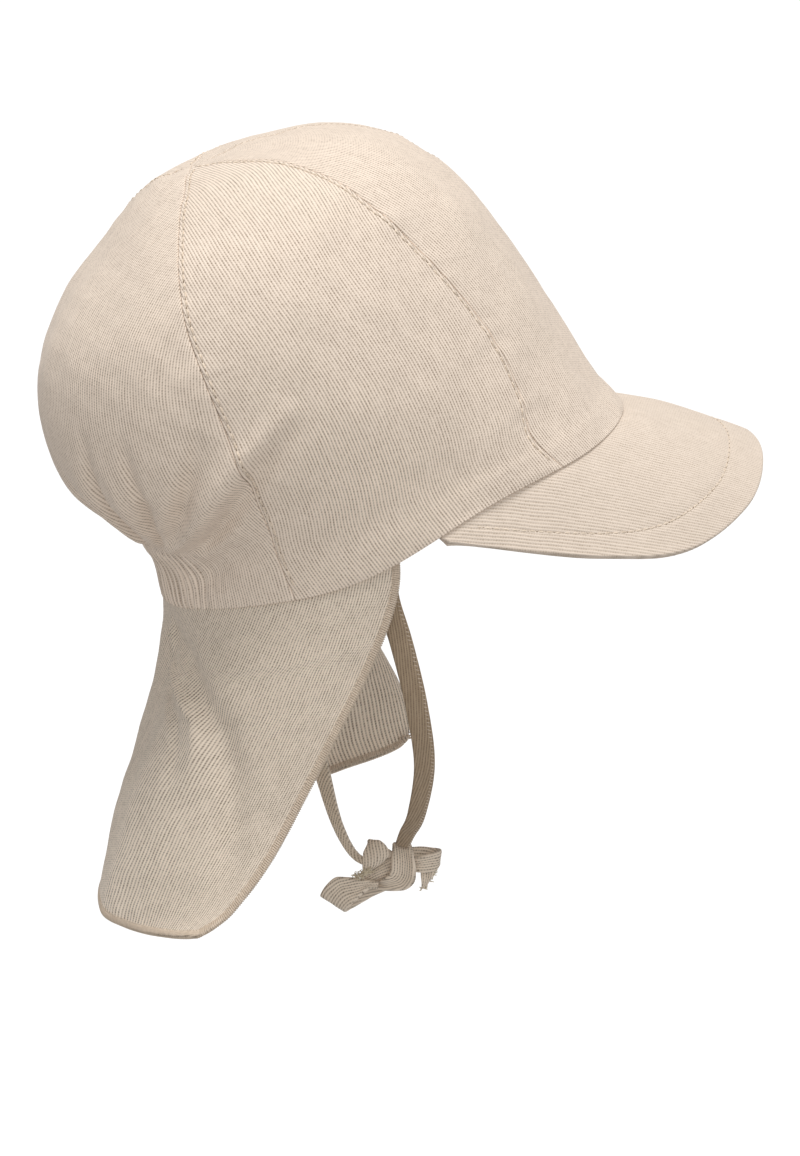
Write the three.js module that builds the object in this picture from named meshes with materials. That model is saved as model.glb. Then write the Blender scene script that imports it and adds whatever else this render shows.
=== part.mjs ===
// Child's legionnaire cap: five-panel crown, two-layer peak, neck flap and two ties in a half bow.
// Millimetres and degrees. +X is the wearer's front, +Y the wearer's left, +Z up.
// The origin is the centre of the head opening. Turns round the head start at the front and grow
// towards the wearer's right.
import * as THREE from "three";

// Driving dimensions of the crown
const openingLength = 160; // head opening, front to back
const openingWidth = 132; // head opening, side to side
const crownHeight = 124.5; // from the rim's plane to the highest point
const capTilt = 22; // how far the rim is raised at the front, as the cap is worn
const crownCloth = 1.4; // thickness of the crown's double cloth
const rimDip = 3.2; // how far the rim drops behind the ears
const earTurn = 116; // turn of that drop's middle
const rimRise = 3.2; // how far the rim lifts above the temples
const templeTurn = 78; // turn of that lift's middle
const rimSweep = 23; // turn over which each of them fades out
const seamGap = 0.3; // room left between pieces that are sewn together

// Driving dimensions of the peak
const peakReach = 37.6; // how far the peak stands out in front, in the rim's plane
const peakDrop = 41; // how far its lowest edge hangs under the rim's plane
const peakHalfTurn = 94; // the peak runs this far round to each side
const peakCloth = 1.5; // thickness of each of its two layers
const peakArch = 3.5; // how far the peak bows up between its seam and its edge

// Driving dimensions of the neck flap
const flapDrop = 130; // from the middle of the head opening down to the hem
const flapTurn = 104; // the flap starts this far round on each side
const flapCloth = 1.2; // thickness of the flap's single cloth

// Driving dimensions of the ties
const tieDrop = 117; // from the middle of the head opening down to the knot
const tieWidth = 7.2;
const tieThickness = 1.8;
const tieNarrowing = 0.35; // share of its width that a tie loses by the knot
const knotHeight = 12.5;
const knotWidth = 8;
const knotWaist = 0.1; // share of its width that the knot loses round the middle
const bowLoopLength = 23; // from the knot to the fold of the bow's loop
const bowLoopWidth = 11.5;
const frontEndLength = 13; // how far the front end bends out from the knot
const frontEndWidth = 6.7;
const backEndLength = 12.5; // how far the back end stands out from the knot
const backEndWidth = 8.4;

// Rings of the crown from the rim to the top. rise is a share of crownHeight; front and back say where
// the ring meets the centre line and side is its half width, as shares of half the opening.
const crownRings = [
  { rise: 0.0, front: 0.99, back: -0.985, side: 1.0 },
  { rise: 0.11, front: 0.93, back: -0.965, side: 1.0 },
  { rise: 0.22, front: 0.89, back: -1.04, side: 1.015 },
  { rise: 0.37, front: 0.85, back: -1.165, side: 1.02 },
  { rise: 0.53, front: 0.79, back: -1.17, side: 0.99 },
  { rise: 0.68, front: 0.72, back: -1.085, side: 0.92 },
  { rise: 0.81, front: 0.605, back: -0.89, side: 0.8 },
  { rise: 0.9, front: 0.46, back: -0.67, side: 0.63 },
  { rise: 0.96, front: 0.27, back: -0.51, side: 0.42 },
  { rise: 0.99, front: 0.02, back: -0.4, side: 0.21 },
  { rise: 0.995, front: -0.25, back: -0.25, side: 0.0 },
];

// Turns of the crown's seams from the rim to the top: front and back on the right side, and backLeft,
// which is counted the other way round. The left front seam mirrors the right one.
const crownSeams = [
  { up: 0.0, front: 59, back: 130, backLeft: 130 },
  { up: 0.1, front: 61, back: 130.5, backLeft: 130 },
  { up: 0.2, front: 56, back: 126, backLeft: 126 },
  { up: 0.3, front: 52.5, back: 120, backLeft: 122 },
  { up: 0.45, front: 55.5, back: 119, backLeft: 121 },
  { up: 0.6, front: 62, back: 125, backLeft: 128 },
  { up: 0.75, front: 69.5, back: 132.5, backLeft: 148 },
  { up: 0.88, front: 75, back: 128, backLeft: 162 },
  { up: 1.0, front: 82, back: 120, backLeft: 165 },
];

// Creases that run up from the gathered nape and soft folds in the neck flap. Each is a trough
// between two places, given by their turns and by their shares of the way from the rim to the top or
// to the hem. depth is a share of the cloth's thickness and width a share of half the opening's width.
const napeCreases = [
  { fromTurn: 176, fromShare: 0.03, toTurn: 118, toShare: 0.3, depth: 2.4, width: 0.06 },
  { fromTurn: 178, fromShare: 0.06, toTurn: 146, toShare: 0.34, depth: 1.8, width: 0.05 },
  { fromTurn: 183, fromShare: 0.06, toTurn: 210, toShare: 0.34, depth: 1.8, width: 0.05 },
  { fromTurn: 185, fromShare: 0.03, toTurn: 238, toShare: 0.3, depth: 2.2, width: 0.06 },
];
const flapFolds = [
  { fromTurn: 152, fromShare: 0.06, toTurn: 119, toShare: 0.72, depth: 2.6, width: 0.19 },
  { fromTurn: 181, fromShare: 0.08, toTurn: 173, toShare: 0.6, depth: 1.8, width: 0.14 },
  { fromTurn: 206, fromShare: 0.08, toTurn: 232, toShare: 0.7, depth: 2.6, width: 0.2 },
];

// Edge of the peak at turns round the head. ahead and drop are shares of peakReach and peakDrop from
// the seam, spread is a share of peakReach out to the side.
const peakEdge = [
  { turn: 0, ahead: 1.07, spread: 0.0, drop: 0.73 },
  { turn: 20, ahead: 1.07, spread: 0.0, drop: 0.83 },
  { turn: 40, ahead: 0.98, spread: 0.04, drop: 1.0 },
  { turn: 58, ahead: 0.74, spread: 0.1, drop: 0.99 },
  { turn: 73, ahead: 0.58, spread: 0.12, drop: 0.74 },
  { turn: 85, ahead: 0.32, spread: 0.12, drop: 0.38 },
  { turn: 94, ahead: 0.06, spread: 0.04, drop: 0.07 },
];

// Hem of the neck flap from the right front corner round the back to the left front corner. back,
// side and down are shares of flapDrop from the origin. ahead and out say how far the cloth between
// seam and hem bellies forwards and to the left, and tuck how far it is drawn in just under the seam,
// as shares of flapDrop.
const flapHem = [
  { along: 0.0, back: 0.6, side: -0.43, down: 0.95, ahead: 0.078, out: 0.0, tuck: 0.0 },
  { along: 0.12, back: 0.66, side: -0.32, down: 0.975, ahead: 0.035, out: -0.02, tuck: 0.02 },
  { along: 0.26, back: 0.723, side: -0.154, down: 0.995, ahead: 0.0, out: -0.02, tuck: 0.05 },
  { along: 0.38, back: 0.742, side: 0.03, down: 1.0, ahead: 0.0, out: 0.0, tuck: 0.08 },
  { along: 0.5, back: 0.685, side: 0.215, down: 0.977, ahead: 0.0, out: 0.03, tuck: 0.08 },
  { along: 0.62, back: 0.523, side: 0.37, down: 0.935, ahead: -0.02, out: 0.05, tuck: 0.05 },
  { along: 0.74, back: 0.292, side: 0.462, down: 0.873, ahead: -0.02, out: 0.06, tuck: 0.02 },
  { along: 0.85, back: -0.01, side: 0.5, down: 0.812, ahead: 0.02, out: 0.05, tuck: 0.0 },
  { along: 0.93, back: -0.195, side: 0.515, down: 0.748, ahead: 0.065, out: 0.04, tuck: 0.0 },
  { along: 1.0, back: -0.145, side: 0.57, down: 0.695, ahead: 0.055, out: 0.07, tuck: 0.0 },
];

// Route of each tie from its seam to the knot. ahead is a share of half the opening's length, out a
// share of half its width towards the tie's own side, and down a share of tieDrop.
const tieRoutes = {
  right: [
    { ahead: -0.25, out: 0.888, down: 0.107 },
    { ahead: -0.235, out: 0.885, down: 0.188 },
    { ahead: -0.175, out: 0.856, down: 0.308 },
    { ahead: -0.098, out: 0.788, down: 0.483 },
    { ahead: -0.026, out: 0.636, down: 0.667 },
    { ahead: 0.0, out: 0.409, down: 0.833 },
    { ahead: 0.003, out: 0.242, down: 0.91 },
    { ahead: 0.008, out: 0.145, down: 0.954 },
  ],
  left: [
    { ahead: -0.25, out: 0.888, down: 0.107 },
    { ahead: -0.244, out: 0.879, down: 0.214 },
    { ahead: -0.238, out: 0.833, down: 0.427 },
    { ahead: -0.213, out: 0.682, down: 0.641 },
    { ahead: -0.186, out: 0.47, down: 0.805 },
    { ahead: -0.173, out: 0.273, down: 0.925 },
    { ahead: -0.145, out: 0.136, down: 0.995 },
    { ahead: -0.1, out: 0.07, down: 1.025 },
    { ahead: -0.055, out: 0.025, down: 1.02 },
  ],
};
const knotPlace = { ahead: 0.008, out: 0.076, down: 1.0 };

// Routes of the bow's loop and the two free ends from the knot's middle, as shares of each one's
// length: ahead and down as they are named, right towards the wearer's right.
const bowLoopRoute = [
  { ahead: -0.19, right: 0.04, down: 0.08 },
  { ahead: -0.5, right: 0.06, down: 0.17 },
  { ahead: -0.8, right: 0.08, down: 0.34 },
  { ahead: -0.93, right: 0.03, down: 0.44 },
  { ahead: -0.82, right: -0.04, down: 0.46 },
  { ahead: -0.5, right: -0.06, down: 0.32 },
  { ahead: -0.19, right: -0.06, down: 0.16 },
];
const frontEndRoute = [
  { ahead: 0.31, right: 0.03, down: 0.0 },
  { ahead: 0.58, right: 0.08, down: -0.05 },
  { ahead: 0.79, right: 0.13, down: 0.08 },
  { ahead: 0.87, right: 0.17, down: 0.29 },
  { ahead: 0.87, right: 0.2, down: 0.52 },
];
const backEndRoute = [
  { ahead: -0.5, right: 0.32, down: -0.06 },
  { ahead: -0.58, right: 0.46, down: -0.3 },
  { ahead: -0.76, right: 0.57, down: -0.42 },
  { ahead: -1.0, right: 0.62, down: -0.16 },
  { ahead: -1.1, right: 0.62, down: 0.18 },
];

// How finely each piece is drawn
const ringRows = 15;
const frontColumns = 8;
const sideColumns = 9;
const backColumns = 34;
const peakColumns = 30;
const peakRows = 6;
const flapColumns = 34;
const flapRows = 16;
const tieSteps = 26;
const bowSteps = 14;

const toRad = THREE.MathUtils.degToRad;
const halfLength = openingLength / 2;
const halfWidth = openingWidth / 2;
const wallLength = crownHeight * 1.4; // of the crown's cloth from the rim to the top

// Place of a value between the rows of a table, counted in rows.
function placeInTable(table, key, value) {
  let row = 0;
  while (row < table.length - 2 && table[row + 1][key] < value) row += 1;
  const low = table[row][key];
  return row + (value - low) / (table[row + 1][key] - low);
}

// Smooth value of one column at a place between rows: a cubic through the rows' own values.
function readTable(table, column, place) {
  const last = table.length - 1;
  const row = Math.min(Math.max(Math.floor(place), 0), last - 1);
  const value = (i) => table[Math.min(Math.max(i, 0), last)][column];
  const [start, end] = [value(row), value(row + 1)];
  const slopeStart = (end - value(row - 1)) / (row === 0 ? 1 : 2);
  const slopeEnd = (value(row + 2) - start) / (row === last - 1 ? 1 : 2);
  const t = place - row;
  const bend = t * t * (3 - 2 * t);
  const easeOut = t * (1 - t) * (1 - t);
  const easeIn = t * t * (t - 1);
  return start + (end - start) * bend + slopeStart * easeOut + slopeEnd * easeIn;
}

const bump = (distance, width) => Math.exp(-((distance / width) ** 2));

// A point of the tilted cap in the frame of the whole part.
function worn(point) {
  const tilt = toRad(capTilt);
  return new THREE.Vector3(
    point.x * Math.cos(tilt) - point.z * Math.sin(tilt),
    point.y,
    point.x * Math.sin(tilt) + point.z * Math.cos(tilt),
  );
}

// How far the crown's lower edge lies above the rim's plane at a turn.
function rimLift(turn) {
  const fromFront = 180 - Math.abs(180 - (((turn % 360) + 360) % 360));
  const lift = rimRise * bump(fromFront - templeTurn, rimSweep);
  return lift - rimDip * bump(fromFront - earTurn, rimSweep);
}

// Outside of the crown at a turn and a share of the way up: rings that are ellipses about their own
// middle, stacked by the table. up is 0 at the rim and 1 at the top.
function crownPoint(turn, up) {
  const place = up * (crownRings.length - 1);
  const front = readTable(crownRings, "front", place) * halfLength;
  const back = readTable(crownRings, "back", place) * halfLength;
  const side = readTable(crownRings, "side", place) * halfWidth;
  const angle = toRad(turn);
  return new THREE.Vector3(
    (front + back) / 2 + ((front - back) / 2) * Math.cos(angle),
    -side * Math.sin(angle),
    readTable(crownRings, "rise", place) * crownHeight + rimLift(turn) * (1 - up) ** 4,
  );
}

// How deep a table's creases sink a cloth at a turn and a share of its length. Each crease is a soft
// trough along a straight line in the unrolled cloth, fading out at its far end.
function creaseDepth(creases, turn, share, clothLength, thickness) {
  const across = toRad(1) * halfWidth;
  let depth = 0;
  for (const crease of creases) {
    const dx = (crease.toTurn - crease.fromTurn) * across;
    const dy = (crease.toShare - crease.fromShare) * clothLength;
    const px = (turn - crease.fromTurn) * across;
    const py = (share - crease.fromShare) * clothLength;
    const along = THREE.MathUtils.clamp((px * dx + py * dy) / (dx * dx + dy * dy), 0, 1);
    const distance = Math.hypot(px - along * dx, py - along * dy);
    const fade = Math.sin(Math.PI * (0.15 + 0.85 * along)) ** 0.7;
    depth += crease.depth * thickness * fade * bump(distance, crease.width * halfWidth);
  }
  return depth;
}

// Where the cap's lower edge is sewn to what hangs from it, in the middle of the crown's cloth.
function rimSeam(turn) {
  const seam = crownPoint(turn, 0);
  const inward = new THREE.Vector2(seam.x, seam.y).setLength(crownCloth / 2);
  return seam.sub(new THREE.Vector3(inward.x, inward.y, seamGap));
}

// A closed sheet of even thickness over a surface given by two shares from 0 to 1. The outer face is
// set in from the surface by inset along its normals. square names an axis that the first row's
// thickness stays level with, so that the edge there meets its neighbour flat.
function clothSheet(surface, columns, rows, thickness, { inset = 0, square = null } = {}) {
  const outer = [];
  const inner = [];
  const step = 1e-3;
  for (let j = 0; j <= rows; j += 1) {
    for (let i = 0; i <= columns; i += 1) {
      const [u, v] = [i / columns, j / rows];
      const [u0, u1] = [Math.max(u - step, 0), Math.min(u + step, 1)];
      const [v0, v1] = [Math.max(v - step, 0), Math.min(v + step, 1)];
      const acrossDir = surface(u1, v).sub(surface(u0, v));
      const upDir = surface(u, v1).sub(surface(u, v0));
      const normal = acrossDir.cross(upDir);
      if (square && j === 0) normal.addScaledVector(square, -normal.dot(square));
      normal.normalize();
      const point = surface(u, v);
      outer.push(point.clone().addScaledVector(normal, -inset));
      inner.push(point.clone().addScaledVector(normal, -inset - thickness));
    }
  }
  const wide = columns + 1;
  const faces = [];
  const quad = (a, b, c, d) => faces.push(a, b, c, a, c, d);
  const innerStart = outer.length;
  for (let j = 0; j < rows; j += 1) {
    for (let i = 0; i < columns; i += 1) {
      const a = j * wide + i;
      quad(a, a + 1, a + wide + 1, a + wide);
      quad(innerStart + a, innerStart + a + wide, innerStart + a + wide + 1, innerStart + a + 1);
    }
  }
  const rim = [];
  for (let i = 0; i < columns; i += 1) rim.push(i);
  for (let j = 0; j < rows; j += 1) rim.push(j * wide + columns);
  for (let i = columns; i > 0; i -= 1) rim.push(rows * wide + i);
  for (let j = rows; j > 0; j -= 1) rim.push(j * wide);
  rim.forEach((a, k) => {
    const b = rim[(k + 1) % rim.length];
    quad(b, a, innerStart + a, innerStart + b);
  });
  return closedGeometry([...outer, ...inner], faces);
}

// A flat strap with eased edges along a curve. facing gives the way its flat side looks at a share of
// the length, and width its width there.
function clothStrap(curve, steps, width, thickness, facing) {
  const ease = thickness / 4;
  const points = [];
  for (let k = 0; k <= steps; k += 1) {
    const share = k / steps;
    const centre = curve.getPointAt(share);
    const tangent = curve.getTangentAt(share);
    const face = facing(share).clone();
    face.addScaledVector(tangent, -face.dot(tangent)).normalize();
    const across = new THREE.Vector3().crossVectors(tangent, face);
    const [halfW, halfT] = [width(share) / 2, thickness / 2];
    const section = [
      [halfW, ease], [halfW - ease, halfT], [ease - halfW, halfT], [-halfW, ease],
      [-halfW, -ease], [ease - halfW, -halfT], [halfW - ease, -halfT], [halfW, -ease],
    ];
    for (const [w, t] of section) {
      points.push(centre.clone().addScaledVector(across, w).addScaledVector(face, t));
    }
  }
  const faces = [];
  const sides = 8;
  for (let k = 0; k < steps; k += 1) {
    for (let i = 0; i < sides; i += 1) {
      const [a, b] = [k * sides + i, k * sides + ((i + 1) % sides)];
      faces.push(a, b, b + sides, a, b + sides, a + sides);
    }
  }
  const lastRing = steps * sides;
  for (let i = 1; i < sides - 1; i += 1) {
    faces.push(0, i + 1, i, lastRing, lastRing + i, lastRing + i + 1);
  }
  return closedGeometry(points, faces);
}

// Geometry from points and triangles, turned inside out where its volume would be negative.
function closedGeometry(points, faces) {
  let volume = 0;
  for (let k = 0; k < faces.length; k += 3) {
    const [a, b, c] = [points[faces[k]], points[faces[k + 1]], points[faces[k + 2]]];
    volume += a.dot(new THREE.Vector3().crossVectors(b, c));
  }
  if (volume < 0) faces.reverse();
  const geometry = new THREE.BufferGeometry().setFromPoints(points);
  geometry.setIndex(faces);
  geometry.computeVertexNormals();
  return geometry;
}

const cap = new THREE.Group();
cap.name = "legionnaire_cap";
const tiltedCap = new THREE.Group();
tiltedCap.rotation.y = -toRad(capTilt);
cap.add(tiltedCap);

// One named piece of cloth in its own colour.
function addPiece(group, name, geometry, color) {
  const material = new THREE.MeshStandardMaterial({ color, roughness: 0.92, metalness: 0 });
  const mesh = new THREE.Mesh(geometry, material);
  mesh.name = name;
  group.add(mesh);
}

const linenColor = 0xcfc0a9;
const undersideColor = 0xc4b49b;
const shadedLinenColor = 0xb8a88c;

// Crown: panels between seams, each held back from its neighbours by half the seam gap.
function crownPanel(name, startTurn, endTurn, columns, spread = (u) => u) {
  const topUp = 0.985;
  const surface = (u, v) => {
    const up = v * topUp;
    const [start, end] = [startTurn(up), endTurn(up)];
    const gapAt = (turn) => {
      const speed = crownPoint(turn + 1, up).distanceTo(crownPoint(turn, up));
      return Math.min(seamGap / 2 / speed, (end - start) / 4);
    };
    const turn = THREE.MathUtils.lerp(start + gapAt(start), end - gapAt(end), spread(u));
    const point = crownPoint(turn, up);
    const middle = crownPoint(turn + 180, up).add(point).multiplyScalar(0.5);
    const depth = creaseDepth(napeCreases, turn, up, wallLength, crownCloth);
    return point.add(middle.sub(point).setLength(depth));
  };
  const geometry = clothSheet(surface, columns, ringRows, crownCloth);
  addPiece(tiltedCap, name, geometry, linenColor);
}

const seamAt = (column) => (up) => {
  const place = placeInTable(crownSeams, "up", up);
  return readTable(crownSeams, column, place);
};
const frontSeam = seamAt("front");
const backSeam = seamAt("back");
const backSeamLeft = seamAt("backLeft");
const mirrored = (seam) => (up) => 360 - seam(up);
const towardsNape = (u) => 0.5 + 0.5 * Math.sign(u - 0.5) * Math.abs(2 * u - 1) ** 1.35;

crownPanel("front_panel_right", () => 0, frontSeam, frontColumns);
crownPanel("side_panel_right", frontSeam, backSeam, sideColumns);
crownPanel("back_panel", backSeam, mirrored(backSeamLeft), backColumns, towardsNape);
crownPanel("side_panel_left", mirrored(backSeamLeft), mirrored(frontSeam), sideColumns);
crownPanel("front_panel_left", mirrored(frontSeam), () => 360, frontColumns);

// Peak: from the crown's lower edge to its own edge, bowed up between them.
function peakSurface(u, v) {
  const turn = THREE.MathUtils.lerp(-peakHalfTurn, peakHalfTurn, u);
  const place = placeInTable(peakEdge, "turn", (Math.abs(turn) * peakEdge.at(-1).turn) / peakHalfTurn);
  const seam = rimSeam(turn);
  const ahead = readTable(peakEdge, "ahead", place) * peakReach;
  const spread = readTable(peakEdge, "spread", place) * peakReach * Math.sign(turn);
  const drop = readTable(peakEdge, "drop", place) * peakDrop;
  const arch = peakArch * 4 * v * (1 - v) * Math.cos(toRad(90) * (turn / peakHalfTurn));
  return seam.add(new THREE.Vector3(ahead * v, -spread * v, arch - drop * v));
}
const peakTop = clothSheet(peakSurface, peakColumns, peakRows, peakCloth);
const underInset = peakCloth + seamGap;
const peakUnder = clothSheet(peakSurface, peakColumns, peakRows, peakCloth, { inset: underInset });
addPiece(tiltedCap, "peak_top", peakTop, linenColor);
addPiece(tiltedCap, "peak_underside", peakUnder, undersideColor);

// Neck flap: from the crown's lower edge to the hem in the table, bellying between them. Its folds
// begin below the seam, at a share of the way down.
const foldStart = 0.12;
function flapSurface(u, v) {
  const turn = THREE.MathUtils.lerp(flapTurn, 360 - flapTurn, u);
  const top = worn(rimSeam(turn));
  const place = placeInTable(flapHem, "along", u);
  const read = (column) => readTable(flapHem, column, place) * flapDrop;
  const hem = new THREE.Vector3(-read("back"), read("side"), -read("down"));
  const belly = (1 - (1 - v) ** 8) * (1 - v ** 14);
  const tuckPeak = 0.25 * 0.75 ** 3;
  const swell = new THREE.Vector3(read("ahead"), read("out"), 0).multiplyScalar(belly);
  swell.x += (read("tuck") * v * (1 - v) ** 3) / tuckPeak;
  const depth = creaseDepth(flapFolds, turn, v, flapDrop, flapCloth) * Math.min(v / foldStart, 1);
  const inward = new THREE.Vector3(-top.x, -top.y, 0).setLength(depth);
  return top.lerp(hem, v).add(swell).add(inward);
}
const capUp = worn(new THREE.Vector3(0, 0, 1));
const flap = clothSheet(flapSurface, flapColumns, flapRows, flapCloth, { square: capUp });
addPiece(cap, "neck_flap", flap, linenColor);

// A point of a tie's route on one side, 1 for the left and -1 for the right.
function placeOf(row, side) {
  return new THREE.Vector3(row.ahead * halfLength, side * row.out * halfWidth, -row.down * tieDrop);
}

// Ties: flat straps from behind the flap's front corners down to the knot, flat against the flap at
// the seam, turning to the given facing on the way and drawn narrower by the knot.
function addTie(name, route, side, atKnot) {
  const points = route.map((row) => placeOf(row, side));
  const curve = new THREE.CatmullRomCurve3(points);
  const facing = (share) => new THREE.Vector3(-0.1, side, 0).lerp(atKnot, share);
  const width = (share) => tieWidth * (1 - tieNarrowing * share ** 5);
  addPiece(cap, name, clothStrap(curve, tieSteps, width, tieThickness, facing), shadedLinenColor);
}
addTie("tie_right", tieRoutes.right, -1, new THREE.Vector3(-0.35, -1, -0.4));
addTie("tie_left", tieRoutes.left, 1, new THREE.Vector3(1, 0.1, -0.3));

// Half bow: a knot of crossed cloth, one folded loop and the two ends of the ties.
const knotCentre = placeOf(knotPlace, -1);
const knot = new THREE.SphereGeometry(0.5, 16, 12);
knot.scale(knotWidth, knotWidth, knotHeight);
const folds = knot.attributes.position;
const crossing = new THREE.Vector3();
for (let i = 0; i < folds.count; i += 1) {
  crossing.fromBufferAttribute(folds, i);
  const waist = 1 - knotWaist * bump(crossing.z, knotHeight / 8);
  folds.setXYZ(i, crossing.x * waist, crossing.y * waist, crossing.z);
}
knot.translate(...knotCentre);
addPiece(cap, "tie_knot", knot, linenColor);

function addBowPart(name, route, length, width, facing) {
  const points = route.map((row) => {
    const step = new THREE.Vector3(row.ahead, -row.right, -row.down).multiplyScalar(length);
    return step.add(knotCentre);
  });
  const curve = new THREE.CatmullRomCurve3(points);
  addPiece(cap, name, clothStrap(curve, bowSteps, width, tieThickness, facing), linenColor);
}
const widening = (share) => bowLoopWidth * (0.6 + 0.4 * Math.sin(Math.PI * share));
const loopOutward = new THREE.Vector3(-0.87, 0, -0.5);
const loopFacing = (share) => {
  const outward = loopOutward.clone().multiplyScalar(Math.sin(Math.PI * share));
  return outward.add(new THREE.Vector3(0, -Math.cos(Math.PI * share), 0));
};
addBowPart("bow_loop", bowLoopRoute, bowLoopLength, widening, loopFacing);
const frontFacing = () => new THREE.Vector3(0.25, -1, 0.2);
addBowPart("tie_end_front", frontEndRoute, frontEndLength, () => frontEndWidth, frontFacing);
const petalFacing = () => new THREE.Vector3(-0.3, -1, 0.4);
addBowPart("tie_end_back", backEndRoute, backEndLength, () => backEndWidth, petalFacing);

export default cap;
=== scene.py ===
import math

import bmesh
import bpy
import numpy as np
from mathutils import Matrix


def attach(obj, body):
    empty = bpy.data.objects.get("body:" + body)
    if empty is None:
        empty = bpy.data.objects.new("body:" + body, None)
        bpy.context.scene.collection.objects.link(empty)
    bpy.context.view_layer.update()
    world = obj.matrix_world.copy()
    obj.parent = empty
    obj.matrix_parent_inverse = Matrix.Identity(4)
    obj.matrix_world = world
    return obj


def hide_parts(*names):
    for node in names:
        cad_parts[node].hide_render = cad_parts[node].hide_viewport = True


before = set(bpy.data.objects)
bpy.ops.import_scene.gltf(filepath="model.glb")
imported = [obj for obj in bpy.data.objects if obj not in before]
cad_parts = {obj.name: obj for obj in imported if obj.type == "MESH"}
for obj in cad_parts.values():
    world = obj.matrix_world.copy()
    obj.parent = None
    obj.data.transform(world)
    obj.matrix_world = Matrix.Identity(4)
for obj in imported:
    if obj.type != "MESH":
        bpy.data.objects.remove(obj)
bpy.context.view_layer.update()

mm = 0.001  # all the tables below are in millimetres and degrees

# Camera
camera = {
    "turn": -17, "lift": 10.5,  # round the cap and above it
    "distance": 1600, "seenHeight": 369.9,  # how far off it stands, and the height it takes in there
    "right": 2.6, "up": -25.45,  # where the picture's middle lies from the origin
    "sensor": 36,
}
viewTurn, viewLift = np.radians([camera["turn"], camera["lift"]])
toCamera = np.array([
    math.sin(viewTurn) * math.cos(viewLift), -math.cos(viewTurn) * math.cos(viewLift), math.sin(viewLift)])
viewRight = np.array([math.cos(viewTurn), math.sin(viewTurn), 0])
viewUp = np.cross(toCamera, viewRight)


def makeCamera():
    data = bpy.data.cameras.new("camera")
    data.sensor_width = camera["sensor"]
    data.lens = camera["sensor"] * camera["distance"] / camera["seenHeight"]
    data.clip_start, data.clip_end = 0.01, 50
    obj = bpy.data.objects.new("camera", data)
    place = toCamera * camera["distance"] + viewRight * camera["right"] + viewUp * camera["up"]
    turned = Matrix(np.column_stack([viewRight, viewUp, toCamera]).tolist()).to_4x4()
    obj.matrix_world = Matrix.Translation(place * mm) @ turned
    bpy.context.collection.objects.link(obj)
    bpy.context.scene.camera = obj


makeCamera()
print("camera ready")


# A material and its shader.
def newMaterial(name, roughness):
    material = bpy.data.materials.new(name)
    material.use_nodes = True
    shader = material.node_tree.nodes["Principled BSDF"]
    shader.inputs["Roughness"].default_value = roughness
    return material, shader


# Light and floor
studio = {
    "floorHeight": -330, "floorSize": 40000,
    "floorColor": (0.88, 0.88, 0.88), "floorRoughness": 0.9,
    # brightness of the sky straight down, level and straight up
    "skyDown": 0.54, "skyLevel": 0.5, "skyUp": 0.5,
    # where each light comes from, round the cap and above it, its strength and its spread
    "lamps": {"windowLight": (-98, 80, 2.25, 30), "fillLight": (-95, 12, 0.75, 60)},
}


def makeStudio():
    for name, (turn, lift, strength, spread) in studio["lamps"].items():
        data = bpy.data.lights.new(name, "SUN")
        data.energy, data.angle = strength, math.radians(spread)
        lamp = bpy.data.objects.new(name, data)
        turn, lift = math.radians(turn), math.radians(lift)
        level = math.cos(lift)
        lamp.location = (math.cos(turn) * level, math.sin(turn) * level, math.sin(lift))
        lamp.rotation_euler = (-lamp.location).to_track_quat("-Z", "Y").to_euler()
        bpy.context.collection.objects.link(lamp)
    world = bpy.data.worlds.new("sky")
    world.use_nodes = True
    nodes, links = world.node_tree.nodes, world.node_tree.links
    way = nodes.new("ShaderNodeTexCoord")
    parts = nodes.new("ShaderNodeSeparateXYZ")
    height = nodes.new("ShaderNodeMapRange")
    height.inputs["From Min"].default_value = -1
    ramp = nodes.new("ShaderNodeValToRGB")
    ramp.color_ramp.elements.new(0.5)
    for element, level in zip(ramp.color_ramp.elements, ("skyDown", "skyLevel", "skyUp")):
        element.color = (studio[level], studio[level], studio[level], 1)
    links.new(way.outputs["Generated"], parts.inputs["Vector"])
    links.new(parts.outputs["Z"], height.inputs["Value"])
    links.new(height.outputs["Result"], ramp.inputs["Fac"])
    links.new(ramp.outputs["Color"], nodes["Background"].inputs["Color"])
    bpy.context.scene.world = world
    bpy.context.scene.view_settings.view_transform = "Standard"
    half = studio["floorSize"] / 2
    corners = np.array([[-half, -half, 0], [half, -half, 0], [half, half, 0], [-half, half, 0]])
    mesh = bpy.data.meshes.new("floor")
    mesh.from_pydata(((corners + [0, 0, studio["floorHeight"]]) * mm).tolist(), [], [(0, 1, 2, 3)])
    material, shader = newMaterial("floorPaper", studio["floorRoughness"])
    shader.inputs["Base Color"].default_value = (*studio["floorColor"], 1)
    mesh.materials.append(material)
    floor = bpy.data.objects.new("floor", mesh)
    bpy.context.collection.objects.link(floor)
    floor.visible_diffuse = False  # white paper that throws no light back up


makeStudio()
print("studio ready")


# What all linens share. The scales are for a noise on the cloth's centimetres.
linen = {
    "roughness": 0.88, "specular": 0.25, "sheen": 0.12, "sheenRoughness": 0.5,
    "wander": 0.8, "wanderScale": 0.7,  # how far the ribs stray, as a share of their pitch
    "grooveSharpness": 1.6, "crossGap": (1.0, 0.45),  # share of a gap between cross threads and on them
    "patchScale": 2.6, "patchStretch": (1, 0.45, 1), "patchRange": (0.36, 0.64), "patchGap": (0.8, 1.0),
    "chanceGap": (0.7, 1.2),  # each gap's own share
    "slubScale": 9, "slubStretch": (1, 0.15, 1), "slubRange": (0.3, 0.7),
    "ribRise": 0.7, "crossRise": 0.3, "slubRise": 0.35, "reliefHeight": 0.25,
}


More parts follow.
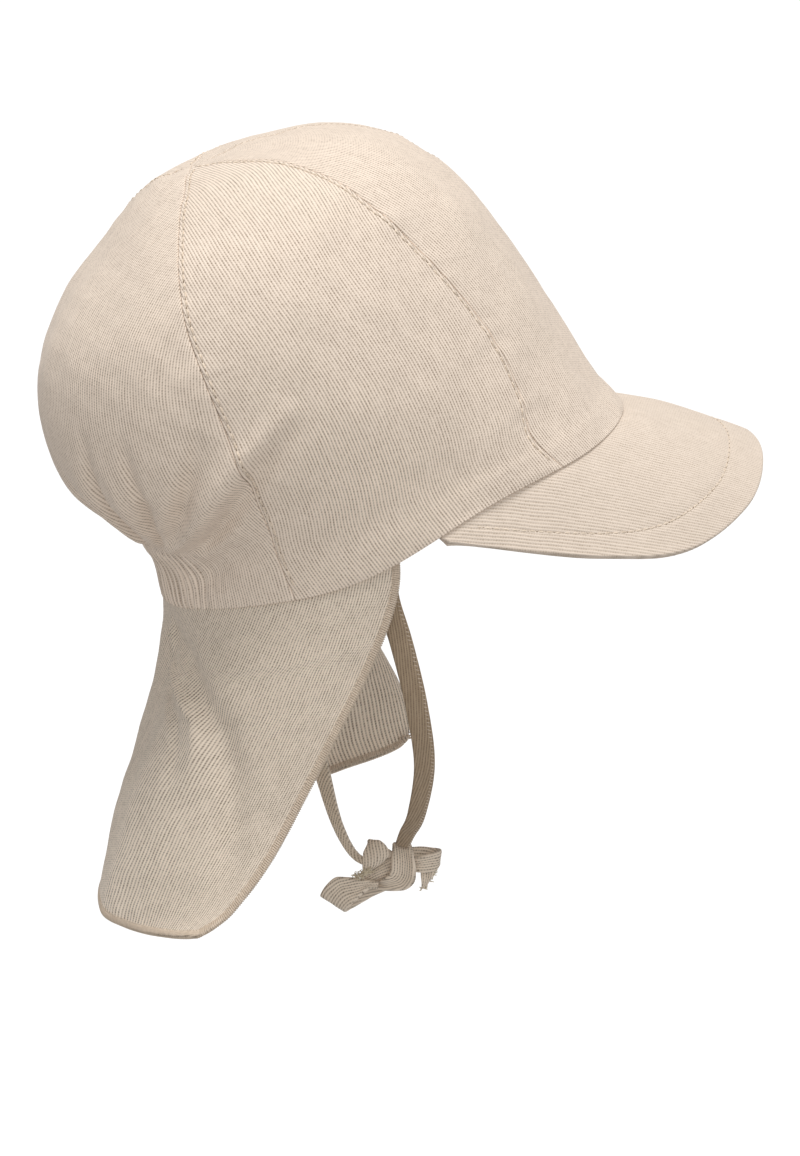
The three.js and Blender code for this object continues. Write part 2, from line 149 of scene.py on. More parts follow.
# Ribbed linen: the rib's phase is the distance across the ribs over their pitch, and the cross threads
# shift half a pitch from one rib to the next. Dark gaps lie where a groove meets the space between two
# cross threads, and slubs make single ribs lighter or darker. Distances are the UV map's centimetres.
def makeLinen(name, light, dark, gap, ribPitch=0.103, crossPitch=0.08, gapShare=0.9, relief=0.5):
    material, shader = newMaterial(name, linen["roughness"])
    nodes, links = material.node_tree.nodes, material.node_tree.links
    shader.inputs["Specular IOR Level"].default_value = linen["specular"]
    shader.inputs["Sheen Weight"].default_value = linen["sheen"]
    shader.inputs["Sheen Roughness"].default_value = linen["sheenRoughness"]

    def calc(operation, a, b=0.0):
        node = nodes.new("ShaderNodeMath")
        node.operation = operation
        for socket, value in zip(node.inputs, (a, b)):
            if isinstance(value, (int, float)):
                socket.default_value = value
            else:
                links.new(value, socket)
        return node.outputs[0]

    def noise(scale, detail, stretch=(1, 1, 1)):
        mapping = nodes.new("ShaderNodeMapping")
        mapping.inputs["Scale"].default_value = stretch
        links.new(uv.outputs["UV"], mapping.inputs["Vector"])
        node = nodes.new("ShaderNodeTexNoise")
        node.inputs["Scale"].default_value = scale
        node.inputs["Detail"].default_value = detail
        links.new(mapping.outputs["Vector"], node.inputs["Vector"])
        return node.outputs["Fac"]

    def spread(value, low, high, to=(0.0, 1.0)):
        node = nodes.new("ShaderNodeMapRange")
        links.new(value, node.inputs["Value"])
        for socket, number in zip(list(node.inputs)[1:5], (low, high, *to)):
            socket.default_value = number
        return node.outputs["Result"]

    def mix(share, a, b):
        node = nodes.new("ShaderNodeMix")
        node.data_type = "RGBA"
        links.new(share, node.inputs["Factor"])
        for socket, value in ((node.inputs[6], a), (node.inputs[7], b)):
            if isinstance(value, tuple):
                socket.default_value = (*value, 1)
            else:
                links.new(value, socket)
        return node.outputs[2]

    uv = nodes.new("ShaderNodeUVMap")
    uv.uv_map = "weave"
    parts = nodes.new("ShaderNodeSeparateXYZ")
    links.new(uv.outputs["UV"], parts.inputs["Vector"])
    stray = calc("SUBTRACT", noise(linen["wanderScale"], 2), 0.5)
    across = calc("ADD", parts.outputs["X"], calc("MULTIPLY", stray, ribPitch * linen["wander"]))
    ribPlace = calc("DIVIDE", across, ribPitch)
    ribHeight = spread(calc("COSINE", calc("MULTIPLY", ribPlace, 2 * math.pi)), -1, 1)
    halfStep = calc("MULTIPLY", calc("FLOOR", ribPlace), 0.5)
    crossPlace = calc("ADD", calc("DIVIDE", parts.outputs["Y"], crossPitch), halfStep)
    crossHeight = spread(calc("COSINE", calc("MULTIPLY", crossPlace, 2 * math.pi)), -1, 1)
    groove = calc("POWER", calc("SUBTRACT", 1, ribHeight), linen["grooveSharpness"])
    patches = noise(linen["patchScale"], 4, linen["patchStretch"])
    patchy = spread(patches, *linen["patchRange"], linen["patchGap"])
    cell = nodes.new("ShaderNodeCombineXYZ")
    links.new(calc("FLOOR", ribPlace), cell.inputs["X"])
    links.new(calc("FLOOR", crossPlace), cell.inputs["Y"])
    chance = nodes.new("ShaderNodeTexWhiteNoise")
    chance.noise_dimensions = "2D"
    links.new(cell.outputs["Vector"], chance.inputs["Vector"])
    patchy = calc("MULTIPLY", patchy, spread(chance.outputs["Value"], 0, 1, linen["chanceGap"]))
    hole = calc("MULTIPLY", groove, spread(crossHeight, 0, 1, linen["crossGap"]))
    hole = calc("MULTIPLY", calc("MULTIPLY", hole, patchy), gapShare)
    slub = spread(noise(linen["slubScale"], 1, linen["slubStretch"]), *linen["slubRange"])
    links.new(mix(hole, mix(slub, dark, light), gap), shader.inputs["Base Color"])
    height = calc("MULTIPLY", ribHeight, linen["ribRise"])
    height = calc("ADD", height, calc("MULTIPLY", crossHeight, linen["crossRise"]))
    height = calc("ADD", height, calc("MULTIPLY", slub, linen["slubRise"]))
    raised = nodes.new("ShaderNodeBump")
    raised.inputs["Strength"].default_value = relief
    raised.inputs["Distance"].default_value = linen["reliefHeight"] * mm
    links.new(height, raised.inputs["Height"])
    links.new(raised.outputs["Normal"], shader.inputs["Normal"])
    return material


spunThread = {"roughness": 0.8, "specular": 0.3, "speckScale": 900, "speckRange": (0.35, 0.65)}


# Plain spun thread, in two shades that a fine noise in space mixes in specks.
def makeThread(name, light, dark):
    material, shader = newMaterial(name, spunThread["roughness"])
    nodes, links = material.node_tree.nodes, material.node_tree.links
    shader.inputs["Specular IOR Level"].default_value = spunThread["specular"]
    place = nodes.new("ShaderNodeTexCoord")
    specks = nodes.new("ShaderNodeTexNoise")
    specks.inputs["Scale"].default_value = spunThread["speckScale"]
    links.new(place.outputs["Object"], specks.inputs["Vector"])
    ramp = nodes.new("ShaderNodeValToRGB")
    for element, position, shade in zip(ramp.color_ramp.elements, spunThread["speckRange"], (dark, light)):
        element.position = position
        element.color = (*shade, 1)
    links.new(specks.outputs["Fac"], ramp.inputs["Fac"])
    links.new(ramp.outputs["Color"], shader.inputs["Base Color"])
    return material


crownLinen = makeLinen("crownLinen", (0.91, 0.775, 0.65), (0.86, 0.73, 0.61), (0.25, 0.18, 0.125))
peakLinen = makeLinen("peakLinen", (0.78, 0.665, 0.56), (0.73, 0.62, 0.52), (0.36, 0.28, 0.20),
                      ribPitch=0.098, crossPitch=0.085, gapShare=0.75)
flapLinen = makeLinen("flapLinen", (0.90, 0.775, 0.64), (0.83, 0.71, 0.585), (0.16, 0.12, 0.085),
                      gapShare=1.0, relief=0.65)
# Painted shade: a darker copy of the linen for the near tie, which hangs in the shade of the crown and flap
shadedLinen = makeLinen("shadedLinen", (0.46, 0.345, 0.235), (0.38, 0.28, 0.185), (0.13, 0.09, 0.06),
                        ribPitch=0.085, crossPitch=0.07)
# Painted light: a lighter copy of the linen for the far tie, which hangs in shade, so that it looks as
# bright as the lit cloth
farTieLitLinen = makeLinen("farTieLitLinen", (0.97, 0.86, 0.72), (0.90, 0.79, 0.65), (0.20, 0.15, 0.10),
                        ribPitch=0.12, crossPitch=0.08)
bowLinen = makeLinen("bowLinen", (0.87, 0.75, 0.615), (0.77, 0.66, 0.54), (0.13, 0.095, 0.065),
                     ribPitch=0.105, crossPitch=0.085)
paleThread = makeThread("paleThread", (0.80, 0.68, 0.55), (0.68, 0.57, 0.45))
tanThread = makeThread("tanThread", (0.66, 0.55, 0.44), (0.58, 0.475, 0.37))
# dark brown for the painted shade in the needle holes between stitches
needleShadeThread = makeThread("needleShadeThread", (0.33, 0.24, 0.16), (0.22, 0.16, 0.11))
creamThread = makeThread("creamThread", (0.78, 0.70, 0.55), (0.60, 0.51, 0.37))
print("materials ready")


# Tools for cloth and thread

# Value of a table's column at a place counted in rows: a cubic through the rows' own values, with the
# slope at a row the mean of the steps beside it.
def readTable(column, place):
    column = np.asarray(column, float)
    last = len(column) - 1
    row = np.clip(np.floor(place).astype(int), 0, last - 1)
    start, end = column[row], column[row + 1]
    before, after = column[np.maximum(row - 1, 0)], column[np.minimum(row + 2, last)]
    slopeStart = (end - before) / np.where(row == 0, 1, 2)
    slopeEnd = (after - start) / np.where(row == last - 1, 1, 2)
    t = place - row
    eased = start + (end - start) * t * t * (3 - 2 * t)
    return eased + slopeStart * t * (1 - t) ** 2 + slopeEnd * t * t * (t - 1)


# Value of a column at a key between the rows' own keys: the same cubic, with the slope at a row that
# of the line through the rows on both sides of it.
def readAt(keys, column, value):
    keys, column = np.asarray(keys, float), np.asarray(column, float)
    slopes = np.gradient(column, keys)
    row = np.clip(np.searchsorted(keys, value, side="right") - 1, 0, len(keys) - 2)
    step = keys[row + 1] - keys[row]
    t = (value - keys[row]) / step
    eased = column[row] + (column[row + 1] - column[row]) * t * t * (3 - 2 * t)
    return eased + step * (slopes[row] * t * (1 - t) ** 2 + slopes[row + 1] * t * t * (t - 1))


# One at no distance, fading as a bell curve of the given width.
def bump(distance, width):
    return np.exp(-(distance / width) ** 2)


def unit(vectors):
    return vectors / np.maximum(np.linalg.norm(vectors, axis=-1, keepdims=True), 1e-12)


# Waves that make a surface uneven: their number, the range of their sizes, and the sum's height
unevenWaves = {"count": 16, "sizes": (0.7, 1.6), "height": 0.6}


# Unevenness at points in space: the sum of waves of about one size in seeded directions, over the root
# of half their number.
def softNoise(points, height, size, seed):
    draw = np.random.default_rng(seed)
    count = unevenWaves["count"]
    heading = unit(draw.normal(size=(count, 3)))
    rate = 2 * np.pi / (size * draw.uniform(*unevenWaves["sizes"], count))
    phase = draw.uniform(0, 2 * np.pi, count)
    waves = np.cos(points @ heading.T * rate + phase).sum(-1) / math.sqrt(count / 2)
    return waves * unevenWaves["height"] * height


# The same along one distance only.
def lineNoise(distance, height, size, seed):
    return softNoise(distance[..., None] * np.array([1.0, 0, 0]), height, size, seed)


# One below zero and none above it, with a slope between them that the softness makes wider: one over
# one plus the exponential of the distance over the softness.
def fadeOut(distance, softness):
    return 1 / (1 + np.exp(distance / softness))


borderSteps = [0, 0.1, 0.3, 0.6]  # grid lines right by a cloth's border


# Shares from 0 to 1 across a width: close together at both borders, even between them.
def closeAtEnds(width, coarse, fine, margin):
    edge = np.concatenate([borderSteps, np.arange(borderSteps[-1] + fine, margin, fine)])
    middle = np.linspace(margin, width - margin, max(int((width - 2 * margin) / coarse), 2))
    return np.concatenate([edge, middle, width - edge[::-1]]) / width


# Unit normals of a grid of points: the step along a row crossed with the step up a column.
def gridNormals(points):
    normals = np.cross(np.gradient(points, axis=1), np.gradient(points, axis=0))
    flat = np.linalg.norm(normals, axis=-1) < 1e-9
    normals[flat] = 0
    for row in range(len(points) - 2, len(points)):
        normals[row] = np.where(flat[row][:, None], normals[row - 1], normals[row])
    return unit(normals)


# Distance along each row and up each column of a grid of points.
def gridLengths(points):
    alongRow = np.zeros(points.shape[:2])
    upColumn = np.zeros(points.shape[:2])
    alongRow[:, 1:] = np.cumsum(np.linalg.norm(np.diff(points, axis=1), axis=-1), axis=1)
    upColumn[1:] = np.cumsum(np.linalg.norm(np.diff(points, axis=0), axis=-1), axis=0)
    return alongRow, upColumn


# Distance from a path's start to each of its points.
def runAlong(path):
    return np.concatenate([[0], np.cumsum(np.linalg.norm(np.diff(path, axis=0), axis=1))])


# Values of a path's points, read at other distances from its start.
def readAlong(values, run, at):
    return np.stack([np.interp(at, run, values[:, k]) for k in range(3)], axis=-1)


# A mesh from points in millimetres and arrays of faces, turned inside out where its volume is negative.
def makePiece(name, points, faceGroups, material, replaced=(), uv=None, weld=False):
    points = np.asarray(points, float).reshape(-1, 3)
    volume = 0
    for faces in faceGroups:
        for k in range(1, faces.shape[1] - 1):
            a, b, c = points[faces[:, 0]], points[faces[:, k]], points[faces[:, k + 1]]
            volume += np.einsum("ij,ij->", a, np.cross(b, c))
    if volume < 0:
        faceGroups = [faces[:, ::-1] for faces in faceGroups]
    mesh = bpy.data.meshes.new(name)
    mesh.from_pydata((points * mm).tolist(), [], [face for faces in faceGroups for face in faces.tolist()])
    if uv is not None:
        corners = np.concatenate([faces.ravel() for faces in faceGroups])
        layer = mesh.uv_layers.new(name="weave")
        layer.data.foreach_set("uv", np.asarray(uv, float).reshape(-1, 2)[corners].ravel())
    mesh.polygons.foreach_set("use_smooth", np.ones(len(mesh.polygons), bool))
    mesh.materials.append(material)
    if weld:
        weldPoints(mesh)
    mesh.update()
    obj = bpy.data.objects.new(name, mesh)
    bpy.context.collection.objects.link(obj)
    if replaced:
        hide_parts(*replaced)
    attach(obj, "root")
    return obj


weldReach = 0.002  # points closer than this become one, where a panel narrows to a point


def weldPoints(mesh):
    work = bmesh.new()
    work.from_mesh(mesh)
    bmesh.ops.remove_doubles(work, verts=work.verts, dist=weldReach * mm)
    work.to_mesh(mesh)
    work.free()


# A sheet of cloth from the grid of its outer face and the normals there. Its middle lies half the
# thickness under the outer face. At a distance d from a border each face lies half the thickness times
# the root of 1 - (1 - d / rounding)^2 from the middle, so that the borders are round.
def makeCloth(name, outer, normals, thickness, weave, material, replaced=(), rounding=None,
              weld=False):
    half = thickness / 2
    rounding = rounding or half
    alongRow, upColumn = gridLengths(outer)
    border = np.minimum(np.minimum(alongRow, alongRow[:, -1:] - alongRow),
                        np.minimum(upColumn, upColumn[-1:] - upColumn))
    near = np.clip(border / rounding, 0, 1)
    lift = half * np.sqrt(1 - (1 - near) ** 2)
    middle = outer - normals * half
    top, under = middle + normals * lift[..., None], middle - normals * lift[..., None]
    rows, columns = outer.shape[:2]
    topIndex = np.arange(rows * columns).reshape(rows, columns)
    inside = np.zeros((rows, columns), bool)
    inside[1:-1, 1:-1] = True
    underIndex = topIndex.copy()
    underIndex[inside] = rows * columns + np.arange(inside.sum())

    def quads(index):
        square = [index[:-1, :-1], index[:-1, 1:], index[1:, 1:], index[1:, :-1]]
        return np.stack(square, axis=-1).reshape(-1, 4)

    points = np.concatenate([top.reshape(-1, 3), under[inside]])
    uv = np.concatenate([weave.reshape(-1, 2), weave[inside]]) / 10
    faces = [quads(topIndex), quads(underIndex)[:, ::-1]]
    piece = makePiece(name, points, faces, material, replaced, uv, weld)
    return {"piece": piece, "face": top, "normals": normals, "middle": middle}


# Points and normals of a cloth's outer face at places counted in rows and columns of its grid, by
# mixing the four grid points round each place.
def onCloth(grid, rowPlace, columnPlace):
    rows, columns = grid.shape[:2]
    row = np.clip(np.floor(rowPlace).astype(int), 0, rows - 2)
    column = np.clip(np.floor(columnPlace).astype(int), 0, columns - 2)
    r, c = (rowPlace - row)[..., None], (columnPlace - column)[..., None]
    low = grid[row, column] * (1 - c) + grid[row, column + 1] * c
    high = grid[row + 1, column] * (1 - c) + grid[row + 1, column + 1] * c
    return low * (1 - r) + high * r


# Faces of tubes, closed at both ends, whose points are counted by tube, ring and side.
def tubeFaces(count, rings, sides):
    index = np.arange(count * rings * sides).reshape(count, rings, sides)
    after = np.roll(index, -1, axis=2)
    walls = np.stack([index[:, :-1], after[:, :-1], after[:, 1:], index[:, 1:]], axis=-1).reshape(-1, 4)
    caps = np.concatenate([index[:, 0, ::-1], index[:, -1]])
    return [walls, caps]


# Round threads along many paths at once: each path's points get a ring of the given radius, square to
# the path, and both ends are closed.
def makeThreads(name, paths, radius, material, sides=5):
    paths = np.asarray(paths, float)
    count, steps = paths.shape[:2]
    tangents = unit(np.gradient(paths, axis=1))
    reference = np.where(np.abs(tangents[:, :1, 2:]) > 0.9, [1.0, 0, 0], [0, 0, 1.0])
    side = unit(np.cross(tangents, reference))
    other = np.cross(tangents, side)
    angles = np.arange(sides) * 2 * np.pi / sides
    ring = side[:, :, None] * np.cos(angles)[:, None] + other[:, :, None] * np.sin(angles)[:, None]
    radius = np.broadcast_to(np.asarray(radius, float), (count, steps))[:, :, None, None]
    return makePiece(name, paths[:, :, None] + ring * radius, tubeFaces(count, steps, sides), material)


# Stitches along a line of points with normals: every pitch, a thread of the given length that rises
# from the cloth and dips back in, lift times the sine of its share less sink, and leans by slant.
def stitchPaths(points, normals, style, steps=5):
    run = runAlong(points)
    length, pitch = style["length"], style["pitch"]
    starts = np.arange(0.5 * (pitch - length), run[-1] - length, pitch)
    share = np.linspace(0, 1, steps)
    at = starts[:, None] + share * length
    base, up = readAlong(points, run, at), unit(readAlong(normals, run, at))
    along = unit(readAlong(np.gradient(points, axis=0), run, at))
    height = style["lift"] * np.sin(np.pi * share) - style["sink"]
    aside = (share - 0.5) * style["slant"]
    return base + up * height[:, None] + np.cross(up, along) * aside[:, None]


# One row of stitches in one thread.
def sewLine(name, points, normals, style, thread, slot):
    return makeThreads(name, stitchPaths(points, normals, style), style["radius"], thread)


# Crown
crown = {
    "length": 160, "width": 132, "height": 124.5,  # of the inside, in the rim's plane and above it
    "tilt": 22, "cloth": 1.4, "borderRounding": 0.22,
    # the rim drops behind the ears and rises at the temples
    "rimDip": 3.2, "earTurn": 116, "rimRise": 3.2, "templeTurn": 78, "rimSweep": 23, "rimFade": 4,
    "wallLength": 174,  # of the cloth from the rim to the top
    # grids of the narrow panels and of the back one: width, step in the middle, step by the borders, and
    # how wide those fine steps go
    "grid": (90, 1.4, 0.5, 5), "backGrid": (150, 0.8, 0.5, 5), "stepsUp": (1.25, 0.6, 3),
    "seamDepth": 0.16, "seamWidth": 0.6,
    "stitchInset": 1.5, "stitchDepth": 0.16, "stitchWidth": 0.45,
    # height, size and seed of the unevenness, which needs this much cloth across and above the rim
    "unevenness": (0.35, 30, 11), "fineUnevenness": (0.1, 9, 12), "settleAcross": 12, "settleUp": 2,
    # puckers by the seams: the last two are their share at the rim and the height where they are whole
    "puckers": (0.3, 8.5, 13), "puckerReach": 6.5, "puckerLean": 0.2, "puckerLow": 0.2, "puckerTop": 0.3,
    # the turned-up hem steps out, but not round the nape
    "bandHeight": 9.5, "bandStep": 0.3, "bandEdge": 0.6, "bandGap": 50,
    "sewnLift": 0.7,  # of the line where the peak and the flap are sewn on, above the rim
}
# Rings from the rim to the top, as shares of the height and of half the length and width
crownRings = {
    "rise": [0.0, 0.11, 0.22, 0.37, 0.53, 0.68, 0.81, 0.9, 0.96, 0.99, 0.995],
    "front": [0.99, 0.93, 0.89, 0.85, 0.79, 0.72, 0.605, 0.46, 0.27, 0.02, -0.25],
    "back": [-0.985, -0.965, -1.04, -1.165, -1.17, -1.085, -0.89, -0.67, -0.51, -0.4, -0.25],
    "side": [1.0, 1.0, 1.015, 1.02, 0.99, 0.92, 0.8, 0.63, 0.42, 0.21, 0.0],
}
# Turns of the seams at shares of the way up
crownSeams = {
    "up": [0.0, 0.1, 0.2, 0.3, 0.45, 0.6, 0.75, 0.88, 1.0],
    "front": [59, 61, 56, 52.5, 55.5, 62, 69.5, 75, 82],
    "back": [130, 130.5, 126, 120, 119, 125, 132.5, 128, 120],
    "backLeft": [130, 130, 126, 122, 121, 128, 148, 162, 165],
}
# Creases that run out from the gathered nape: depth (less than nothing for a ridge), width, and the
# turns and shares of the way up that each passes
napeCreases = [
    (3.8, 3.4, (150, 0.15), (143, 0.178), (129.5, 0.233), (117, 0.283), (110, 0.312), (101, 0.343)),
    (2.6, 8.0, (160, 0.05), (145, 0.115), (127, 0.185), (114, 0.245)),
    (-3.6, 4.0, (161.5, 0.16), (147.5, 0.21), (132.5, 0.26), (117.5, 0.31), (101, 0.355)),
    (3.2, 2.6, (156, 0.183), (147, 0.22), (136.5, 0.273), (128.5, 0.327), (124, 0.37)),
    (-1.7, 2.8, (161, 0.195), (146.5, 0.257), (138.5, 0.303), (134, 0.345)),
    (3.0, 2.5, (163, 0.17), (155, 0.235), (149.5, 0.277), (146, 0.35), (144, 0.4)),
    (-1.4, 2.8, (163, 0.21), (155.5, 0.293), (153.5, 0.35)),
    (2.9, 2.5, (172.5, 0.16), (165.5, 0.257), (159.5, 0.363), (157, 0.41)),
    (-1.0, 2.6, (174, 0.19), (170, 0.27), (165, 0.37)),
    (2.0, 2.5, (180, 0.17), (177, 0.26), (174, 0.36)),
    (2.3, 2.5, (188, 0.173), (193, 0.263), (198, 0.38)),
    (-1.2, 2.8, (192, 0.2), (201, 0.27), (206, 0.34)),
    (2.3, 2.6, (196, 0.18), (208, 0.26), (214, 0.345)),
    (2.4, 2.8, (201, 0.18), (219, 0.26), (232, 0.345)),
    (-2.2, 3.2, (199, 0.17), (226, 0.25), (250, 0.335)),
    (3.0, 2.8, (199, 0.15), (222, 0.22), (247, 0.312)),
]


# Tilted back as the cap is worn.
def worn(points):
    tilt = math.radians(crown["tilt"])
    x, y, z = np.moveaxis(points, -1, 0)
    ahead = x * math.cos(tilt) - z * math.sin(tilt)
    height = x * math.sin(tilt) + z * math.cos(tilt)
    return np.stack([ahead, y, height], axis=-1)


# Inner face of the crown: an ellipse about its own middle at each share of the way up, with the rim
# lifted at the temples and dropped behind the ears.
def crownPoint(turn, up):
    place = up * (len(crownRings["rise"]) - 1)
    front = readTable(crownRings["front"], place) * crown["length"] / 2
    back = readTable(crownRings["back"], place) * crown["length"] / 2
    side = readTable(crownRings["side"], place) * crown["width"] / 2
    fromFront = 180 - np.abs(180 - np.mod(turn, 360))
    lift = crown["rimRise"] * bump(fromFront - crown["templeTurn"], crown["rimSweep"])
    lift = lift - crown["rimDip"] * bump(fromFront - crown["earTurn"], crown["rimSweep"])
    angle = np.radians(turn)
    x = (front + back) / 2 + (front - back) / 2 * np.cos(angle)
    z = readTable(crownRings["rise"], place) * crown["height"] + lift * (1 - up) ** crown["rimFade"]
    return np.stack([x, -side * np.sin(angle), z], axis=-1)


# A crease's depth starts at the sine of this share of a half turn, to the power of roundness, and is
# less by softStart at its very start. Its width starts at a share too.
creaseShape = {
    "startShare": 0.3, "roundness": 0.7, "softStart": 0.65, "softLength": 0.16, "startWidth": 0.65,
}


# Depth of creases at a place on unrolled cloth: for each one a trough about its path, which widens
# from its start and fades towards its end.
def creaseDepth(creases, turn, share, clothLength):
    scale = np.array([math.radians(1) * crown["width"] / 2, clothLength])
    here = np.stack([turn, share], axis=-1) * scale
    depth = 0
    for deep, width, *path in creases:
        path = np.array(path, float) * scale
        steps = np.diff(path, axis=0)
        run = runAlong(path)
        nearest, along = np.full(turn.shape, np.inf), np.zeros(turn.shape)
        for start, step, before, after in zip(path, steps, run, run[1:]):
            t = np.clip((here - start) @ step / (step @ step), 0, 1)
            away = np.linalg.norm(here - start - t[..., None] * step, axis=-1)
            closer = away < nearest
            nearest = np.where(closer, away, nearest)
            along = np.where(closer, (before + t * (after - before)) / run[-1], along)
        start, late = creaseShape["startShare"], 1 - np.minimum(along / creaseShape["softLength"], 1)
        fade = np.sin(np.pi * (start + (1 - start) * along)) ** creaseShape["roundness"]
        fade = fade * (1 - creaseShape["softStart"] * late ** 2)
        wide = creaseShape["startWidth"] + (1 - creaseShape["startWidth"]) * along
        depth = depth + deep * fade * bump(nearest, width * wide)
    return depth


# The gathered nape, with the elastic's casing drawn in above it
nape = {
    "pitch": 3.3, "depth": 1.9, "sharpness": 0.6,
    "halfTurn": 23, "sideFade": 3, "top": 0.14, "topFade": 0.01,
    "bend": (0.35, 14, 5), "bendLean": 30,  # height, size and seed of the valleys' bending
    "casingTop": 0.158, "casingDepth": 1.5, "casingWidth": 2.6,
}


# Fine gathers at the nape: narrow valleys, one to a pitch, one less a power of the sine's size.
def gathers(turn, up):
    across = (turn - 180) * math.radians(1) * crown["width"] / 2
    phase = np.pi * (across / nape["pitch"] + lineNoise(across + up * nape["bendLean"], *nape["bend"]))
    window = fadeOut(np.abs(turn - 180) - nape["halfTurn"], nape["sideFade"])
    height = fadeOut(up - nape["top"], nape["topFade"])
    drawn = bump((up - nape["casingTop"]) * crown["wallLength"], nape["casingWidth"])
    folds = nape["depth"] * height * (1 - np.abs(np.sin(phase)) ** nape["sharpness"])
    return window * (folds + nape["casingDepth"] * drawn)


# A seam as a function that gives its turn at a share of the way up.
def seamAt(column, mirrored=False):
    def turnAt(up):
        turn = readAt(crownSeams["up"], crownSeams[column], up)
        return 360 - turn if mirrored else turn
    return turnAt


# One panel between two seams. Its outer face is the crown's, raised by the cloth and by the relief:
# seam grooves, stitch troughs, the nape's folds and the cloth's own unevenness.
def makePanel(name, startTurn, endTurn, grid="grid", stitched=False):
    columns, rows = closeAtEnds(*crown[grid]), closeAtEnds(crown["wallLength"], *crown["stepsUp"])
    share, up = np.meshgrid(columns, rows)
    start, end = startTurn(up), endTurn(up)
    turn = start + (end - start) * share
    base = crownPoint(turn, up)
    normals = -gridNormals(base)
    alongRow, upColumn = gridLengths(base)
    total = alongRow[:, -1:]
    fromSeam = np.minimum(alongRow, total - alongRow)
    settle = np.clip(total / crown["settleAcross"], 0, 1) * np.clip(upColumn / crown["settleUp"], 0, 1)
    along = upColumn[:, upColumn.shape[1] // 2][:, None] + 0 * alongRow
    across = alongRow - total / 2
    relief = softNoise(base, *crown["unevenness"]) + softNoise(base, *crown["fineUnevenness"])
    waves = lineNoise(up * crown["wallLength"] + crown["puckerLean"] * fromSeam, *crown["puckers"])
    waves = waves * np.clip(up / crown["puckerTop"], crown["puckerLow"], 1)
    relief = relief + waves * np.exp(-fromSeam / crown["puckerReach"])
    relief = relief - crown["seamDepth"] * bump(fromSeam, crown["seamWidth"])
    if stitched:
        relief = relief - crown["stitchDepth"] * bump(fromSeam - crown["stitchInset"], crown["stitchWidth"])
    band = fadeOut(along - crown["bandHeight"], crown["bandEdge"]) * (1 - bump(turn - 180, crown["bandGap"]))
    relief = relief * settle + crown["bandStep"] * band
    relief = relief - creaseDepth(napeCreases, turn, up, crown["wallLength"]) - gathers(turn, up)
    outer = worn(base + normals * (crown["cloth"] + relief)[..., None])
    weave = np.stack([across, along], axis=-1)
    cloth = makeCloth(name + "_cloth", outer, -gridNormals(outer), crown["cloth"], weave, crownLinen,
                      (name,), crown["borderRounding"], weld=True)
    cloth.update(columns=columns, rows=rows, total=total[:, 0])
    return cloth


# The front seam as the first panel's start and the last one's end
def frontStart(up):
    return 0 * up


def frontEnd(up):
    return 0 * up + 360


frontSeam, backSeam = seamAt("front"), seamAt("back")
frontSeamLeft, backSeamLeft = seamAt("front", True), seamAt("backLeft", True)
panels = {
    "front_panel_right": makePanel("front_panel_right", frontStart, frontSeam),
    "side_panel_right": makePanel("side_panel_right", frontSeam, backSeam, stitched=True),
    "back_panel": makePanel("back_panel", backSeam, backSeamLeft, "backGrid"),
    "side_panel_left": makePanel("side_panel_left", backSeamLeft, frontSeamLeft, stitched=True),
    "front_panel_left": makePanel("front_panel_left", frontSeamLeft, frontEnd),
}
print("crown panels made")


# A line on a panel at a distance from its first or last seam, from one share of the way up to another.
def panelLine(cloth, inset, fromUp, toUp, last=False, steps=600):
    rowPlace = np.linspace(fromUp, toUp, steps)
    place = np.interp(rowPlace, cloth["rows"], np.arange(len(cloth["rows"])))
    total = np.interp(rowPlace, cloth["rows"], cloth["total"])
    share = 1 - inset / total if last else inset / total
    columnPlace = np.interp(share, cloth["columns"], np.arange(len(cloth["columns"])))
    return onCloth(cloth["face"], place, columnPlace), onCloth(cloth["normals"], place, columnPlace)


topstitch = {"length": 2.1, "pitch": 2.9, "radius": 0.26, "lift": 0.34, "sink": 0.16, "slant": 0}
frontStitch = {"length": 1.5, "pitch": 2.0, "radius": 0.16, "lift": 0.14, "sink": 0.08, "slant": 1.3}
peakStitch = {"length": 2.1, "pitch": 2.9, "radius": 0.2, "lift": 0.26, "sink": 0.16, "slant": 0}
# Painted shade in the needle holes: short dark brown threads sunk between the stitches
needleShadeDot = {"length": 0.55, "radius": 0.22, "lift": 0, "sink": 0.12, "slant": 0}
# Where the rows start and end on the way up, and how far the front one lies from its seam
stitchRows = {"side": (0.03, 0.97), "front": (0.05, 0.97), "frontInset": 0.9}


# A row of pale stitches with painted shade between each two: a short dark brown thread in the needle hole
# where the stitch dives into the cloth.
def makeStitches(name, lines, style):
    shadeDotStyle = dict(needleShadeDot, pitch=style["pitch"])
    toGap = style["pitch"] / 2 / needleShadeDot["length"]
    stitches = [stitchPaths(*line, style) for line in lines]
    shadeDots = [stitchPaths(*line, shadeDotStyle, steps=3) for line in lines]
    shadeDots = [paths + (paths[:, 2:] - paths[:, :1]) * toGap for paths in shadeDots]
    makeThreads(name, np.concatenate(stitches), style["radius"], paleThread)
    # dark brown dots of painted shade between the stitches
    makeThreads(name + "_needle_shade", np.concatenate(shadeDots), needleShadeDot["radius"], needleShadeThread)


for side in ("right", "left"):
    panel = panels["side_panel_" + side]
    lines = [panelLine(panel, crown["stitchInset"], *stitchRows["side"], last) for last in (False, True)]
    makeStitches("side_stitches_" + side, lines, topstitch)
frontLine = panelLine(panels["front_panel_right"], stitchRows["frontInset"], *stitchRows["front"])
sewLine("front_seam_stitches", *frontLine, frontStitch, tanThread, "crown_cloth")
print("crown stitches made")


# Where the cap's lower edge is sewn to what hangs from it: the middle of the crown's cloth.
def rimSeam(turn):
    seam = crownPoint(turn, 0 * turn)
    outward = unit(seam * [1, 1, 0])
    return seam + outward * crown["cloth"] / 2 + np.array([0, 0, crown["sewnLift"]])


